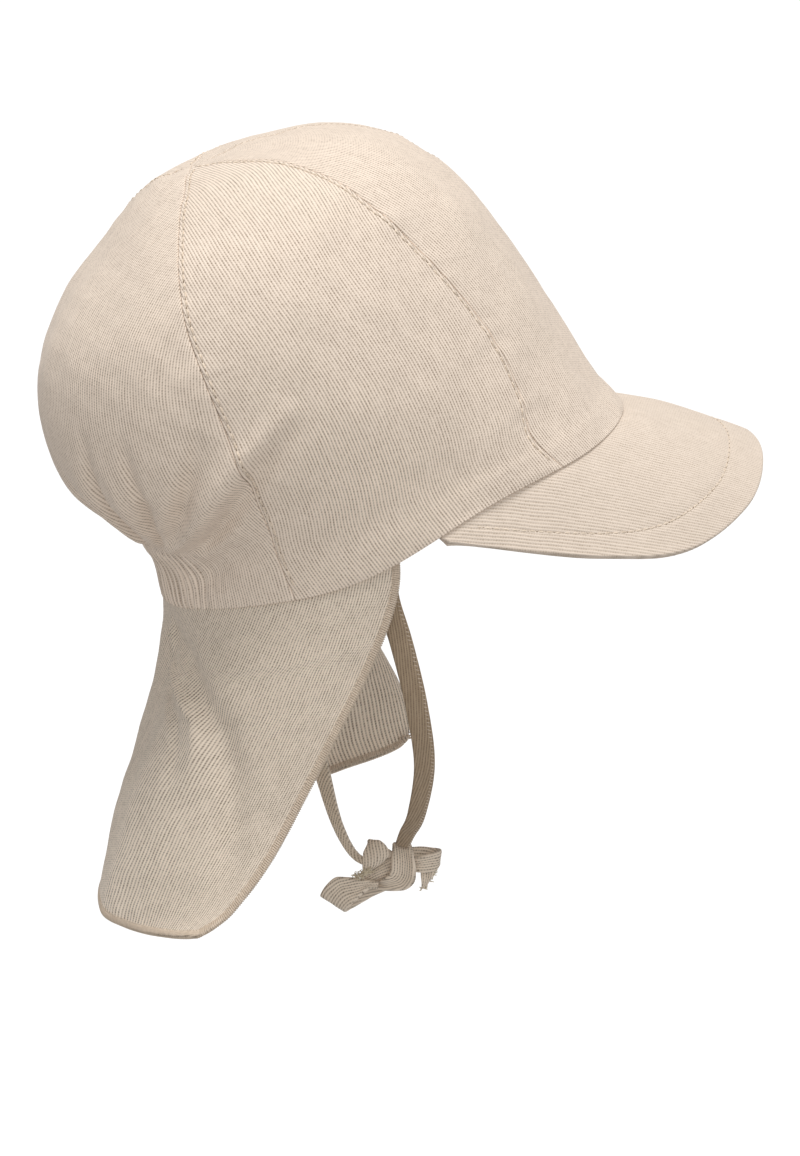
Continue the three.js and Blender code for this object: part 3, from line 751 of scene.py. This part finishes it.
# Peak
peak = {
    "reach": 36.4, "drop": 41.6, "halfTurn": 94, "cloth": 1.5, "arch": 2.4, "gap": 0.3,
    "grid": (220, 1.6, 0.6, 4), "gridOut": (50, 0.8, 0.35, 2.5),
    "ribRadius": 65, "ribDip": 30,
    "stitchFromEdge": 13, "stitchDepth": 0.22, "stitchWidth": 0.9,
    "stitchRoom": 2.5,  # cloth that the stitch line needs behind it
    "unevenness": (0.3, 26), "settleOut": 4,
    "puckers": (0.06, 4), "puckerReach": 3,
    "topSeed": 61, "undersideSeed": 71,
}
peakEdge = {
    "turn": [0, 20, 40, 58, 73, 85, 94],
    "ahead": [1.07, 1.07, 0.98, 0.74, 0.58, 0.32, 0.06],
    "spread": [0, 0, 0.04, 0.1, 0.12, 0.12, 0.04],
    "drop": [0.73, 0.83, 0.98, 1.0, 0.78, 0.42, 0.07],
}


# From the crown's lower edge straight to the peak's own edge, bowed up between them.
def peakPoint(turn, share):
    ahead, spread, drop = [readAt(peakEdge["turn"], peakEdge[name], np.abs(turn))
                           for name in ("ahead", "spread", "drop")]
    ahead, spread, drop = ahead * peak["reach"], spread * peak["reach"] * np.sign(turn), drop * peak["drop"]
    bow = peak["arch"] * 4 * share * (1 - share) * np.cos(np.pi / 2 * turn / peak["halfTurn"])
    return rimSeam(turn) + np.stack([ahead * share, -spread * share, bow - drop * share], axis=-1)


# One layer of the peak, set under the top face by depth. Its ribs run forwards and down, and lie round
# the peak as staves round a half barrel.
def makePeakLayer(name, depth, seed, stitched):
    turn, share = np.meshgrid(
        (closeAtEnds(*peak["grid"]) * 2 - 1) * peak["halfTurn"], closeAtEnds(*peak["gridOut"]))
    base = peakPoint(turn, share)
    alongRow, upColumn = gridLengths(base)
    relief = softNoise(base, *peak["unevenness"], seed) * np.clip(upColumn / peak["settleOut"], 0, 1)
    fromEdge = upColumn[-1:] - upColumn
    if stitched:
        fromLine = fromEdge - peak["stitchFromEdge"]
        relief = relief - peak["stitchDepth"] * bump(fromLine, peak["stitchWidth"])
        relief = relief + softNoise(base, *peak["puckers"], seed + 1) * bump(fromLine, peak["puckerReach"])
    outer = worn(base + gridNormals(base) * (relief - depth)[..., None])
    dip = math.radians(peak["ribDip"])
    along = base[..., 0] * math.cos(dip) - base[..., 2] * math.sin(dip)
    height = base[..., 0] * math.sin(dip) + base[..., 2] * math.cos(dip)
    centre = height.max() - peak["ribRadius"]
    across = peak["ribRadius"] * np.arctan2(base[..., 1], height - centre)
    weave = np.stack([across, along], axis=-1)
    cloth = makeCloth(name + "_cloth", outer, gridNormals(outer), peak["cloth"], weave, peakLinen,
                      (name,))
    cloth.update(fromEdge=fromEdge)
    return cloth


peakTop = makePeakLayer("peak_top", 0, peak["topSeed"], True)
makePeakLayer("peak_underside", peak["cloth"] + peak["gap"], peak["undersideSeed"], False)

# The stitch line keeps its distance from the edge wherever the peak is deep enough for it.
fromEdge, stitchDistance = peakTop["fromEdge"], peak["stitchFromEdge"]
deepEnough = np.flatnonzero(fromEdge[0] > stitchDistance + peak["stitchRoom"])
rowPlaces = np.array([
    np.interp(-stitchDistance, -fromEdge[:, column], np.arange(len(fromEdge))) for column in deepEnough])
peakLine = [onCloth(peakTop[grid], rowPlaces, deepEnough.astype(float)) for grid in ("face", "normals")]
makeStitches("peak_stitches", [peakLine], peakStitch)
print("peak made")


# Neck flap
flap = {
    "drop": 130, "turn": 104, "cloth": 1.2,
    # the cut's width at the seam and at the hem, its longest length and its mean one
    "flatTop": 192, "flatHem": 238, "flatLength": 130, "meanLength": 106,
    "corner": 7,  # radius of the lower corners
    # steps of the grid in the middle and by the borders, and how wide the fine steps go
    "stepsAcross": (1.5, 0.5, 5), "stepsDown": (1.2, 0.5, 4),
    "unevenness": (0.5, 38, 81), "fineUnevenness": (0.12, 11, 82), "settleDown": 6,
    "bellyTop": 8, "bellyHem": 14,  # powers: how soon the belly fills out, and how late it closes
    "tuckAt": 0.25,  # where the cloth is drawn in most, of the way down
    "foldStart": 0.12,  # the folds deepen over this share of the way down
    "grainBlend": 0.5,  # from ribs even at the seam to ribs even all the way down
    # the gathers pull the grain aslant behind the nape: its slope at the seam, and how far that reaches
    "pull": 0.65, "pullTurn": 178, "pullSpread": 30, "pullDepth": 75,
}
flapHem = {
    "along": [0.0, 0.12, 0.26, 0.38, 0.5, 0.62, 0.74, 0.85, 0.93, 1.0],
    "back": [0.6, 0.66, 0.723, 0.742, 0.685, 0.523, 0.292, -0.01, -0.195, -0.145],
    "side": [-0.43, -0.32, -0.154, 0.03, 0.215, 0.37, 0.462, 0.5, 0.515, 0.57],
    "down": [0.955, 0.98, 0.995, 0.995, 0.97, 0.925, 0.86, 0.797, 0.732, 0.655],
    "ahead": [0.078, 0.035, -0.002, -0.006, -0.008, -0.026, -0.02, 0.02, 0.065, 0.055],
    "out": [0.0, -0.02, -0.02, 0.0, 0.03, 0.05, 0.06, 0.05, 0.04, 0.07],
    "tuck": [0.0, 0.005, 0.02, 0.04, 0.046, 0.04, 0.025, 0.0, 0.0, 0.0],
}
# Soft folds: depth (less than nothing for a ridge), width, and the turns and shares of the way down
flapFolds = [
    (-2.6, 2.5, (179, 0.04), (178, 0.2), (163.7, 0.285), (151.1, 0.355), (146.6, 0.425), (142, 0.55)),
    (1.7, 3.6, (180, 0.14), (175, 0.31), (161, 0.37), (153.4, 0.46), (147, 0.62)),
    (3.0, 6.0, (177, 0.08), (158, 0.235), (140.5, 0.385), (127.9, 0.57), (121.5, 0.74), (106, 0.97)),
    (2.0, 9.0, (181, 0.1), (177, 0.4), (172, 0.7)), (-1.4, 7.0, (184, 0.06), (190, 0.35), (196, 0.7)),
    (2.6, 9.0, (196, 0.08), (216, 0.4), (232, 0.75)), (1.6, 6.0, (251, 0.6), (248, 0.8), (247, 0.95)),
]


# From the flap's front edge on the right round the back to the one on the left.
def flapTurn(share):
    return flap["turn"] + (360 - 2 * flap["turn"]) * share


# From the crown's lower edge to the hem in the table, bellying between them and drawn in under the
# seam. The belly holds its depth down to the hem: one less a power of what is left of the way down,
# times one less a power of the way down.
def flapPoint(share, down):
    turn = flapTurn(share)
    top = worn(rimSeam(turn))
    read = {name: readAt(flapHem["along"], column, share) * flap["drop"] for name, column in flapHem.items()}
    hem = np.stack([-read["back"], read["side"], -read["down"]], axis=-1)
    belly = (1 - (1 - down) ** flap["bellyTop"]) * (1 - down ** flap["bellyHem"])
    swell = np.stack([read["ahead"] * belly, read["out"] * belly, 0 * belly], axis=-1)
    tuckAt = flap["tuckAt"]
    swell[..., 0] += read["tuck"] * down * (1 - down) ** 3 / (tuckAt * (1 - tuckAt) ** 3)
    depth = creaseDepth(flapFolds, turn, down, flap["drop"]) * np.minimum(down / flap["foldStart"], 1)
    inward = -unit(top * [1, 1, 0]) * depth[..., None]
    return top + (hem - top) * down[..., None] + swell + inward


# Rounds the two lower corners of the cut: inside the corner's square, shares a and b of its sides go
# to a sqrt(1 - b^2 / 2) and b sqrt(1 - a^2 / 2), which turns the square into a quarter disc.
def roundCorners(share, down):
    wide, tall = flap["corner"] / flap["flatHem"], flap["corner"] / flap["drop"]
    fromSide = np.minimum(share, 1 - share)
    a, b = np.clip(1 - fromSide / wide, 0, 1), np.clip(1 - (1 - down) / tall, 0, 1)
    newSide = np.where(a > 0, (1 - a * np.sqrt(1 - b * b / 2)) * wide, fromSide)
    newDown = np.where(b > 0, 1 - (1 - b * np.sqrt(1 - a * a / 2)) * tall, down)
    return np.where(share < 0.5, newSide, 1 - newSide), newDown


# The grain's place across is spread with the cloth, blended with even ribs, and less by the pull: its
# slope falls evenly to nothing at the pull's depth.
def makeFlap():
    columns = closeAtEnds(flap["flatHem"], *flap["stepsAcross"])
    rows = closeAtEnds(flap["drop"], *flap["stepsDown"])
    share, down = roundCorners(*np.meshgrid(columns, rows))
    base = flapPoint(share, down)
    alongRow, upColumn = gridLengths(base)
    relief = softNoise(base, *flap["unevenness"]) + softNoise(base, *flap["fineUnevenness"])
    relief = relief * np.clip(upColumn / flap["settleDown"], 0, 1)
    outer = base + gridNormals(base) * relief[..., None]
    middle = len(columns) // 2
    spread = alongRow - alongRow[:, middle][:, None]
    even = (alongRow[0] - alongRow[0, middle])[None] + 0 * spread
    across = spread * flap["grainBlend"] + even * (1 - flap["grainBlend"])
    fromPull = (flapTurn(share) - flap["pullTurn"]) / flap["pullSpread"]
    pulled = np.minimum(upColumn, flap["pullDepth"])
    pulled = pulled - pulled ** 2 / flap["pullDepth"] / 2
    weave = np.stack([across - flap["pull"] * np.exp(-fromPull ** 2) * pulled, upColumn], axis=-1)
    return makeCloth("neck_flap_cloth", outer, gridNormals(outer), flap["cloth"], weave, flapLinen,
                     ("neck_flap",))


neckFlap = makeFlap()

# Overlocked edge: threads that wrap the border from one face to the other, leaning along it, and a
# chain of stitches inside them.
overlock = {
    "reach": 2.2, "pitch": 0.72, "radius": 0.3, "lean": 0.7, "margin": 1.2,
    "standOff": 0.3,  # of a thread's radius, above the cloth
    # a wrap's way in over each face, as shares of its reach, its heights there, and its angles round
    # the border
    "steps": [1, 0.66, 0.33], "heights": [0.75, 1, 1], "bend": [75, 40, 0, -40, -75],
    "cornerRoom": 5,  # grid lines that the way in keeps off the corners
}
chainStitch = {"length": 1.15, "pitch": 1.5, "radius": 0.17, "lift": 0.2, "sink": 0.05, "slant": 0.5}


# The border's points with the way into the cloth and the face's normal there: down one front edge,
# along the hem and up the other front edge.
def flapBorder():
    middle, normals = neckFlap["middle"], neckFlap["normals"]
    rows, columns = middle.shape[:2]
    index = np.arange(rows * columns).reshape(rows, columns)
    row, column = np.divmod(np.concatenate([index[:, 0], index[-1, 1:], index[-2::-1, -1]]), columns)
    border = middle[row, column]
    room = overlock["cornerRoom"]
    row, column = np.clip(row, room, rows - 1 - room), np.clip(column, room, columns - 1 - room)
    return border, normals[row, column], unit(middle[row, column] - border)


# Each wrap runs out over the top face, round the border at half the cloth's thickness, and back in
# over the under face.
def makeOverlock():
    points, normals, inward = flapBorder()
    run = runAlong(points)
    at = np.arange(overlock["margin"], run[-1] - overlock["margin"], overlock["pitch"])
    base, up, into = readAlong(points, run, at), readAlong(normals, run, at), readAlong(inward, run, at)
    forward = unit(np.gradient(base, axis=0))
    into = unit(into - forward * np.sum(into * forward, axis=1, keepdims=True))
    square = np.cross(forward, into)
    up = square * np.sign(np.median(np.sum(square * unit(up), axis=1)))
    half = flap["cloth"] / 2 + overlock["radius"] * overlock["standOff"]
    steps, heights = np.array(overlock["steps"]) * overlock["reach"], np.array(overlock["heights"])
    bend = np.radians(overlock["bend"])
    reach = np.concatenate([steps, flap["cloth"] / 2 - np.cos(bend) * half, steps[::-1]])
    level = np.concatenate([heights, np.sin(bend), -heights[::-1]]) * half
    lean = np.linspace(-0.5, 0.5, len(reach)) * overlock["lean"]
    paths = base[:, None] + into[:, None] * reach[:, None]
    paths = paths + up[:, None] * level[:, None] + forward[:, None] * lean[:, None]
    wraps = makeThreads("flap_overlock", paths, overlock["radius"], tanThread)
    faceLine = base + into * overlock["reach"] + up * flap["cloth"] / 2
    chain = sewLine("flap_chain_stitch", faceLine, up, chainStitch, tanThread, "flap_cloth")
    return [wraps, chain]


flapTrim = makeOverlock()
print("neck flap made")


# Ties: flat straps of folded cloth from behind the flap's front corners to the knot
tie = {
    "drop": 117, "width": 7.2, "cloth": 1.8, "steps": 150,
    "backwards": 0.1,  # how far a tie faces back where it starts
    "narrowPower": 3,  # how late it narrows
    # its section: points round it, powers of the cosine and the sine, and how deep its grooves are, each
    # with its place across and its width
    "around": 48, "widePower": 0.55, "thickPower": 0.75,
    "groove": 0.12, "grooves": [(0.62, 0.09), (-0.8, 0.07)],
    "underShift": 2.2,  # of the weave on the under face, in half widths
    "unevenness": (0.12, 7, 91),
    "stitchHeight": 0.36,  # of the cloth
    "stitch": {"length": 0.9, "radius": 0.16, "lift": 0.2, "sink": 0.08},
}
# Of each tie: its side, how much narrower it is at the knot, how late it turns, the way it faces there,
# the lean of its grain, and where its stitches lie across it, their lean and their pitch
tieSides = {
    "right": {
        "sign": -1, "linen": shadedLinen, "narrowing": 0.35, "lateTurn": 1, "atKnot": (-0.35, -1, -0.4),
        "grain": 8, "stitchPlace": -0.35, "slant": 1.2, "pitch": 1.5,
    },
    "left": {
        "sign": 1, "linen": farTieLitLinen, "narrowing": 0.75, "lateTurn": 2, "atKnot": (1, 0.1, -0.3),
        "grain": 38, "stitchPlace": 0.36, "slant": 0.3, "pitch": 1.9,
    },
}
# Route of each one: ahead as a share of half the crown's length, out of half its width towards the
# tie's own side, down of the ties' drop
tieRoutes = {
    "right": [
        (-0.25, 0.888, 0.107), (-0.235, 0.885, 0.188), (-0.175, 0.856, 0.308), (-0.098, 0.788, 0.483),
        (-0.026, 0.636, 0.667), (0.0, 0.409, 0.833), (0.003, 0.242, 0.91), (0.008, 0.145, 0.954),
    ],
    "left": [
        (-0.25, 0.888, 0.107), (-0.244, 0.879, 0.214), (-0.238, 0.833, 0.427), (-0.213, 0.682, 0.641),
        (-0.186, 0.47, 0.805), (-0.173, 0.273, 0.925), (-0.145, 0.136, 0.995), (-0.1, 0.07, 1.025),
        (-0.055, 0.025, 1.02),
    ],
}
knotPlace = (0.008, 0.076, 1.0)


def routePoint(row, sign):
    ahead, out, down = np.moveaxis(np.asarray(row, float), -1, 0)
    scaled = [ahead * crown["length"] / 2, sign * out * crown["width"] / 2, -down * tie["drop"]]
    return np.stack(scaled, axis=-1)


knotCentre = routePoint(knotPlace, -1)


# Smooth curve through points: each coordinate read as a table, then spaced evenly by length.
def smoothPath(points, steps, fineSteps=400):
    fine = np.linspace(0, len(points) - 1, fineSteps)
    curve = np.stack([readTable(points[:, k], fine) for k in range(3)], axis=-1)
    run = runAlong(curve)
    return readAlong(curve, run, np.linspace(0, run[-1], steps))


# A flat strap along a path: its section is a flattened oval, whose cosine and sine are raised to powers
# below one and keep their signs, with a groove by each border where the fold is stitched.
def makeStrap(name, path, facing, width, material, replaced, grain):
    tangents = unit(np.gradient(path, axis=0))
    face = unit(facing - tangents * np.sum(facing * tangents, axis=1, keepdims=True))
    across = np.cross(tangents, face)
    angles = np.linspace(0, 2 * np.pi, tie["around"], endpoint=False)
    wide = np.sign(np.cos(angles)) * np.abs(np.cos(angles)) ** tie["widePower"]
    thick = np.sign(np.sin(angles)) * np.abs(np.sin(angles)) ** tie["thickPower"]
    sink = 1 - tie["groove"] * sum(bump(wide - place, size) for place, size in tie["grooves"])
    points = path[:, None] + across[:, None] * (wide * width[:, None] / 2)[..., None]
    level = tie["cloth"] / 2 * thick * sink
    level = level + softNoise(points, *tie["unevenness"]) * np.sign(thick) * (1 - wide ** 4)
    points = points + face[:, None] * level[..., None]
    spread = np.where(thick >= 0, wide, tie["underShift"] - wide) * width[:, None] / 2
    along = runAlong(path)[:, None] + 0 * spread
    grain = math.radians(grain)
    weave = np.stack([spread * math.cos(grain) - along * math.sin(grain),
                      spread * math.sin(grain) + along * math.cos(grain)], axis=-1) / 10
    faces = tubeFaces(1, len(path), len(angles))
    piece = makePiece(name, points, faces, material, replaced, weave)
    return {"piece": piece, "path": path, "face": face, "across": across}


# A tie's facing goes from outwards to the one at the knot as a power of the share of its way, and its width
# is less by another power.
def makeTie(side):
    own = tieSides[side]
    path = smoothPath(routePoint(tieRoutes[side], own["sign"]), tie["steps"])
    share = np.linspace(0, 1, tie["steps"])[:, None]
    turned = share ** own["lateTurn"]
    facing = np.array([-tie["backwards"], own["sign"], 0]) * (1 - turned) + np.array(own["atKnot"]) * turned
    width = tie["width"] * (1 - own["narrowing"] * share[:, 0] ** tie["narrowPower"])
    strap = makeStrap("tie_strap_" + side, path, facing, width, own["linen"], ("tie_" + side,), own["grain"])
    line = path + strap["across"] * (width * own["stitchPlace"])[:, None]
    line = line + strap["face"] * tie["cloth"] * tie["stitchHeight"]
    style = dict(tie["stitch"], pitch=own["pitch"], slant=own["slant"])
    return strap, sewLine("tie_stitches_" + side, line, strap["face"], style, tanThread, "tie_cloth")


tieRight, tieRightStitches = makeTie("right")
tieLeft, tieLeftStitches = makeTie("left")
print("ties made")


# Half bow: pieces placed by their steps to the right, up and towards the camera from the knot
bow = {
    "cloth": 1.6, "ripple": (0.15, 5), "rippleSeed": 100,
    "steps": 90, "grid": (12, 0.5, 0.4, 1.6),  # along a band and across it
}
# Each band's rows give its middle and its half width, both as steps to the right, up and near, and cup is
# how far its middle stands out from its borders, from the first row to the last.
bands = {
    # over the top, down the front and left along the bottom into the loop
    "knot_band": {
        "replaced": ("tie_knot",), "seed": 1, "cloth": bow["cloth"],
        "cup": [0.5, 0.9, 1.3, 1.5, 1.6, 1.5, 1.3, 1.1, 0.9],
        "rows": [
            (1.0, 2.6, -2.6, 3.0, 0.2, 0.0), (1.0, 4.0, 0.4, 3.2, 0.3, 0.0), (1.3, 3.0, 3.2, 3.6, 0.2, 0.3),
            (1.5, 0.6, 5.0, 4.0, -0.4, 0.5), (1.7, -2.6, 5.6, 4.3, -0.8, 0.6),
            (1.3, -5.6, 5.0, 4.2, -2.1, 0.4), (-0.4, -7.6, 4.2, 2.8, -2.8, 0.0),
            (-3.6, -8.3, 3.8, 0.9, -2.5, -0.4), (-6.8, -8.6, 0.4, -0.2, -1.9, -0.3),
        ],
    },
    # out to the left, fanning open, round the fold at the lower left and back behind itself
    "bow_loop_band": {
        "replaced": ("bow_loop",), "seed": 2, "cloth": bow["cloth"],
        "cup": [0.6, 0.6, 0.8, 0.6, 0.4, 0.2, 0.0, 0.0, 0.3, 0.4, 0.4, 0.3],
        "rows": [
            (-6.4, -8.6, 2.6, -0.3, -1.7, 0.2), (-8.9, -8.7, 2.8, -0.3, -1.8, 0.2),
            (-11.9, -9.0, 2.8, 0.7, -2.8, 0.2), (-15.2, -9.8, 2.8, 1.9, -4.0, 0.1),
            (-17.8, -10.7, 2.5, 2.6, -4.7, 0.0), (-19.6, -12.3, 1.6, 3.4, -4.0, 0.0),
            (-20.5, -13.6, 0.2, 4.1, -2.9, 0.0), (-19.8, -13.8, -1.4, 4.3, -2.9, 0.0),
            (-15.4, -11.7, -2.2, 3.2, -3.4, 0.0), (-10.4, -10.2, -2.0, 1.6, -3.0, 0.0),
            (-5.6, -9.0, -1.0, 0.8, -2.3, 0.0), (-2.0, -7.8, 0.0, 0.6, -2.0, 0.0),
        ],
    },
    # out to the right and round into a small open loop
    "front_end_band": {
        "replaced": ("tie_end_front",), "seed": 3, "cloth": bow["cloth"],
        "cup": [0.4, 0.8, 0.7, 0.4, 0.2, 0.3, 0.3, 0.3],
        "rows": [
            (3.6, -1.8, 2.0, 0.2, 2.6, 0.0), (6.4, -1.9, 3.4, 0.2, 2.9, 0.2),
            (9.2, -1.6, 3.2, 0.5, 3.4, 0.0), (11.6, -1.0, 1.8, 0.7, 3.6, -0.4),
            (12.3, 0.2, -0.4, 0.2, 3.0, -0.6), (10.6, 1.2, -2.0, -0.2, 2.2, 0.0),
            (7.6, 1.7, -2.2, 0.0, 1.9, 0.0), (4.2, 1.8, -1.6, 0.0, 1.7, 0.0),
        ],
    },
    # from the knot down to the left, between the loop and the upper fold
    "inner_band": {
        "replaced": (), "seed": 6, "cloth": bow["cloth"],
        "cup": [0.2, 0.3, 0.3, 0.2, 0.1],
        "rows": [
            (-0.6, -1.8, 2.6, 0.0, 3.8, 0.0), (-3.4, -2.7, 2.4, 0.6, 3.8, 0.0),
            (-6.4, -4.1, 1.8, 1.0, 3.2, 0.0), (-9.8, -5.9, 1.4, 0.8, 1.9, 0.0),
            (-12.4, -6.9, 1.2, 0.5, 1.1, 0.0),
        ],
    },
    # a ragged tail under the small loop
    "ragged_tail": {
        "replaced": (), "seed": 5, "cloth": 1.2,
        "cup": [0.4, 0.5, 0.4, 0.2, 0.1],
        "rows": [
            (9.2, -2.6, 1.6, 2.0, 0.4, 0.0), (9.4, -4.6, 1.8, 2.4, 0.5, 0.0),
            (9.2, -6.6, 1.8, 2.0, 0.6, 0.0), (8.6, -8.6, 1.4, 1.3, 0.5, 0.0),
            (8.3, -9.6, 1.2, 1.0, 0.4, 0.0),
        ],
    },
    # up to the left behind, over a rounded fold and down again in front to a frayed end
    "back_end_band": {
        "replaced": ("tie_end_back",), "seed": 4, "cloth": bow["cloth"],
        "cup": [0.2, 0.3, 0.2, 0.2, 0.5, 0.9, 1.1, 1.0, 0.6, 0.3],
        "rows": [
            (-2.4, 0.2, 2.6, -1.6, 1.6, 0.0), (-4.8, 2.2, 2.8, -2.8, 2.2, 0.0),
            (-7.0, 4.2, 3.2, -2.6, 1.9, 0.2), (-7.8, 5.6, 4.0, -2.0, 0.7, 0.2),
            (-8.0, 5.1, 5.2, -2.6, -0.8, 0.1), (-7.7, 3.3, 6.1, -3.9, -1.2, 0.0),
            (-7.3, 0.9, 6.5, -4.6, -1.2, 0.0), (-7.5, -1.2, 6.3, -4.3, -1.6, 0.0),
            (-8.5, -3.0, 5.7, -3.0, -1.4, 0.0), (-9.8, -4.2, 5.1, -2.0, -0.9, 0.0),
        ],
    },
}


def fromKnot(steps):
    steps = np.asarray(steps, float)
    return knotCentre + steps[..., :1] * viewRight + steps[..., 1:2] * viewUp + steps[..., 2:] * toCamera


# A band of cloth along a path: the rows' middle and half width are read as tables, and the middle is
# raised by the cup times one less the square of the share across.
def makeBand(name, rows, cup, replaced, cloth, seed):
    rows = np.asarray(rows, float)
    fine = np.linspace(0, len(rows) - 1, bow["steps"])
    values = np.stack([readTable(rows[:, k], fine) for k in range(rows.shape[1])], axis=-1)
    middle, half = values[:, :3], values[:, 3:6]
    share = closeAtEnds(*bow["grid"]) * 2 - 1
    grid = fromKnot(middle[:, None] + half[:, None] * share[:, None])
    cupped = readTable(np.asarray(cup, float), fine * (len(cup) - 1) / (len(rows) - 1))
    alongRow, upColumn = gridLengths(grid)
    relief = cupped[:, None] * (1 - share ** 2) + softNoise(grid, *bow["ripple"], bow["rippleSeed"] + seed)
    grid = grid + gridNormals(grid) * relief[..., None]
    weave = np.stack([alongRow - alongRow[:, -1:] / 2, upColumn], axis=-1)
    cloth = makeCloth(name, grid, gridNormals(grid), cloth, weave, bowLinen, replaced)
    return cloth["piece"]


bandPieces = {name: makeBand(name, **band) for name, band in bands.items()}

# Loose threads at the cut ends: the middle and the half width of where they start, the way they leave,
# how many they are and how long
frays = {
    "left": ((-11.2, -4.6, 6.6), (-2.2, -1.0, 0.3), (-0.4, -0.3, 0.6), 110, 2.4),
    "tail": ((8.3, -9.4, 1.3), (1.1, 0.4, 0.0), (-0.2, -1.0, 0.2), 16, 1.6),
    "tuft": ((12.0, -4.0, 1.4), (0.3, 0.9, 0.0), (1.0, -0.2, 0.2), 12, 1.6),
    "side": ((10.9, -6.2, 1.8), (0.6, 1.3, 0.0), (0.8, -0.6, 0.2), 10, 1.2),
}
frayThread = {
    "steps": 7, "spread": 0.45, "lengths": (0.45, 1.1), "bends": (0.8, 4.0),
    "radii": (0.14, 0.26), "taper": 0.4, "sides": 4, "seed": 7,
}


# Each thread is an arc from its start, turned aside by its bend and thinner towards its end.
def makeFray(name, middle, half, way, count, length):
    draw = np.random.default_rng(len(name) * frayThread["seed"])
    share = np.linspace(0, 1, frayThread["steps"])
    start = np.array(middle) + np.array(half) * draw.uniform(-1, 1, (count, 1))
    heading = unit(np.array(way) + draw.normal(0, frayThread["spread"], (count, 3)))
    curl = unit(np.cross(heading, draw.normal(size=(count, 3))))
    reach = length * draw.uniform(*frayThread["lengths"], (count, 1, 1))
    bend = draw.uniform(*frayThread["bends"], (count, 1))
    ahead = np.sin(share * bend) / bend
    aside = (1 - np.cos(share * bend)) / bend
    paths = start[:, None] + reach * (heading[:, None] * ahead[..., None] + curl[:, None] * aside[..., None])
    radius = draw.uniform(*frayThread["radii"], (count, 1)) * (1 - frayThread["taper"] * share)
    sides = frayThread["sides"]
    return makeThreads("fray_" + name, fromKnot(paths), radius, creamThread, sides)


frayPieces = [makeFray(name, *values) for name, values in frays.items()]
print("bow made")


print("cap finished")
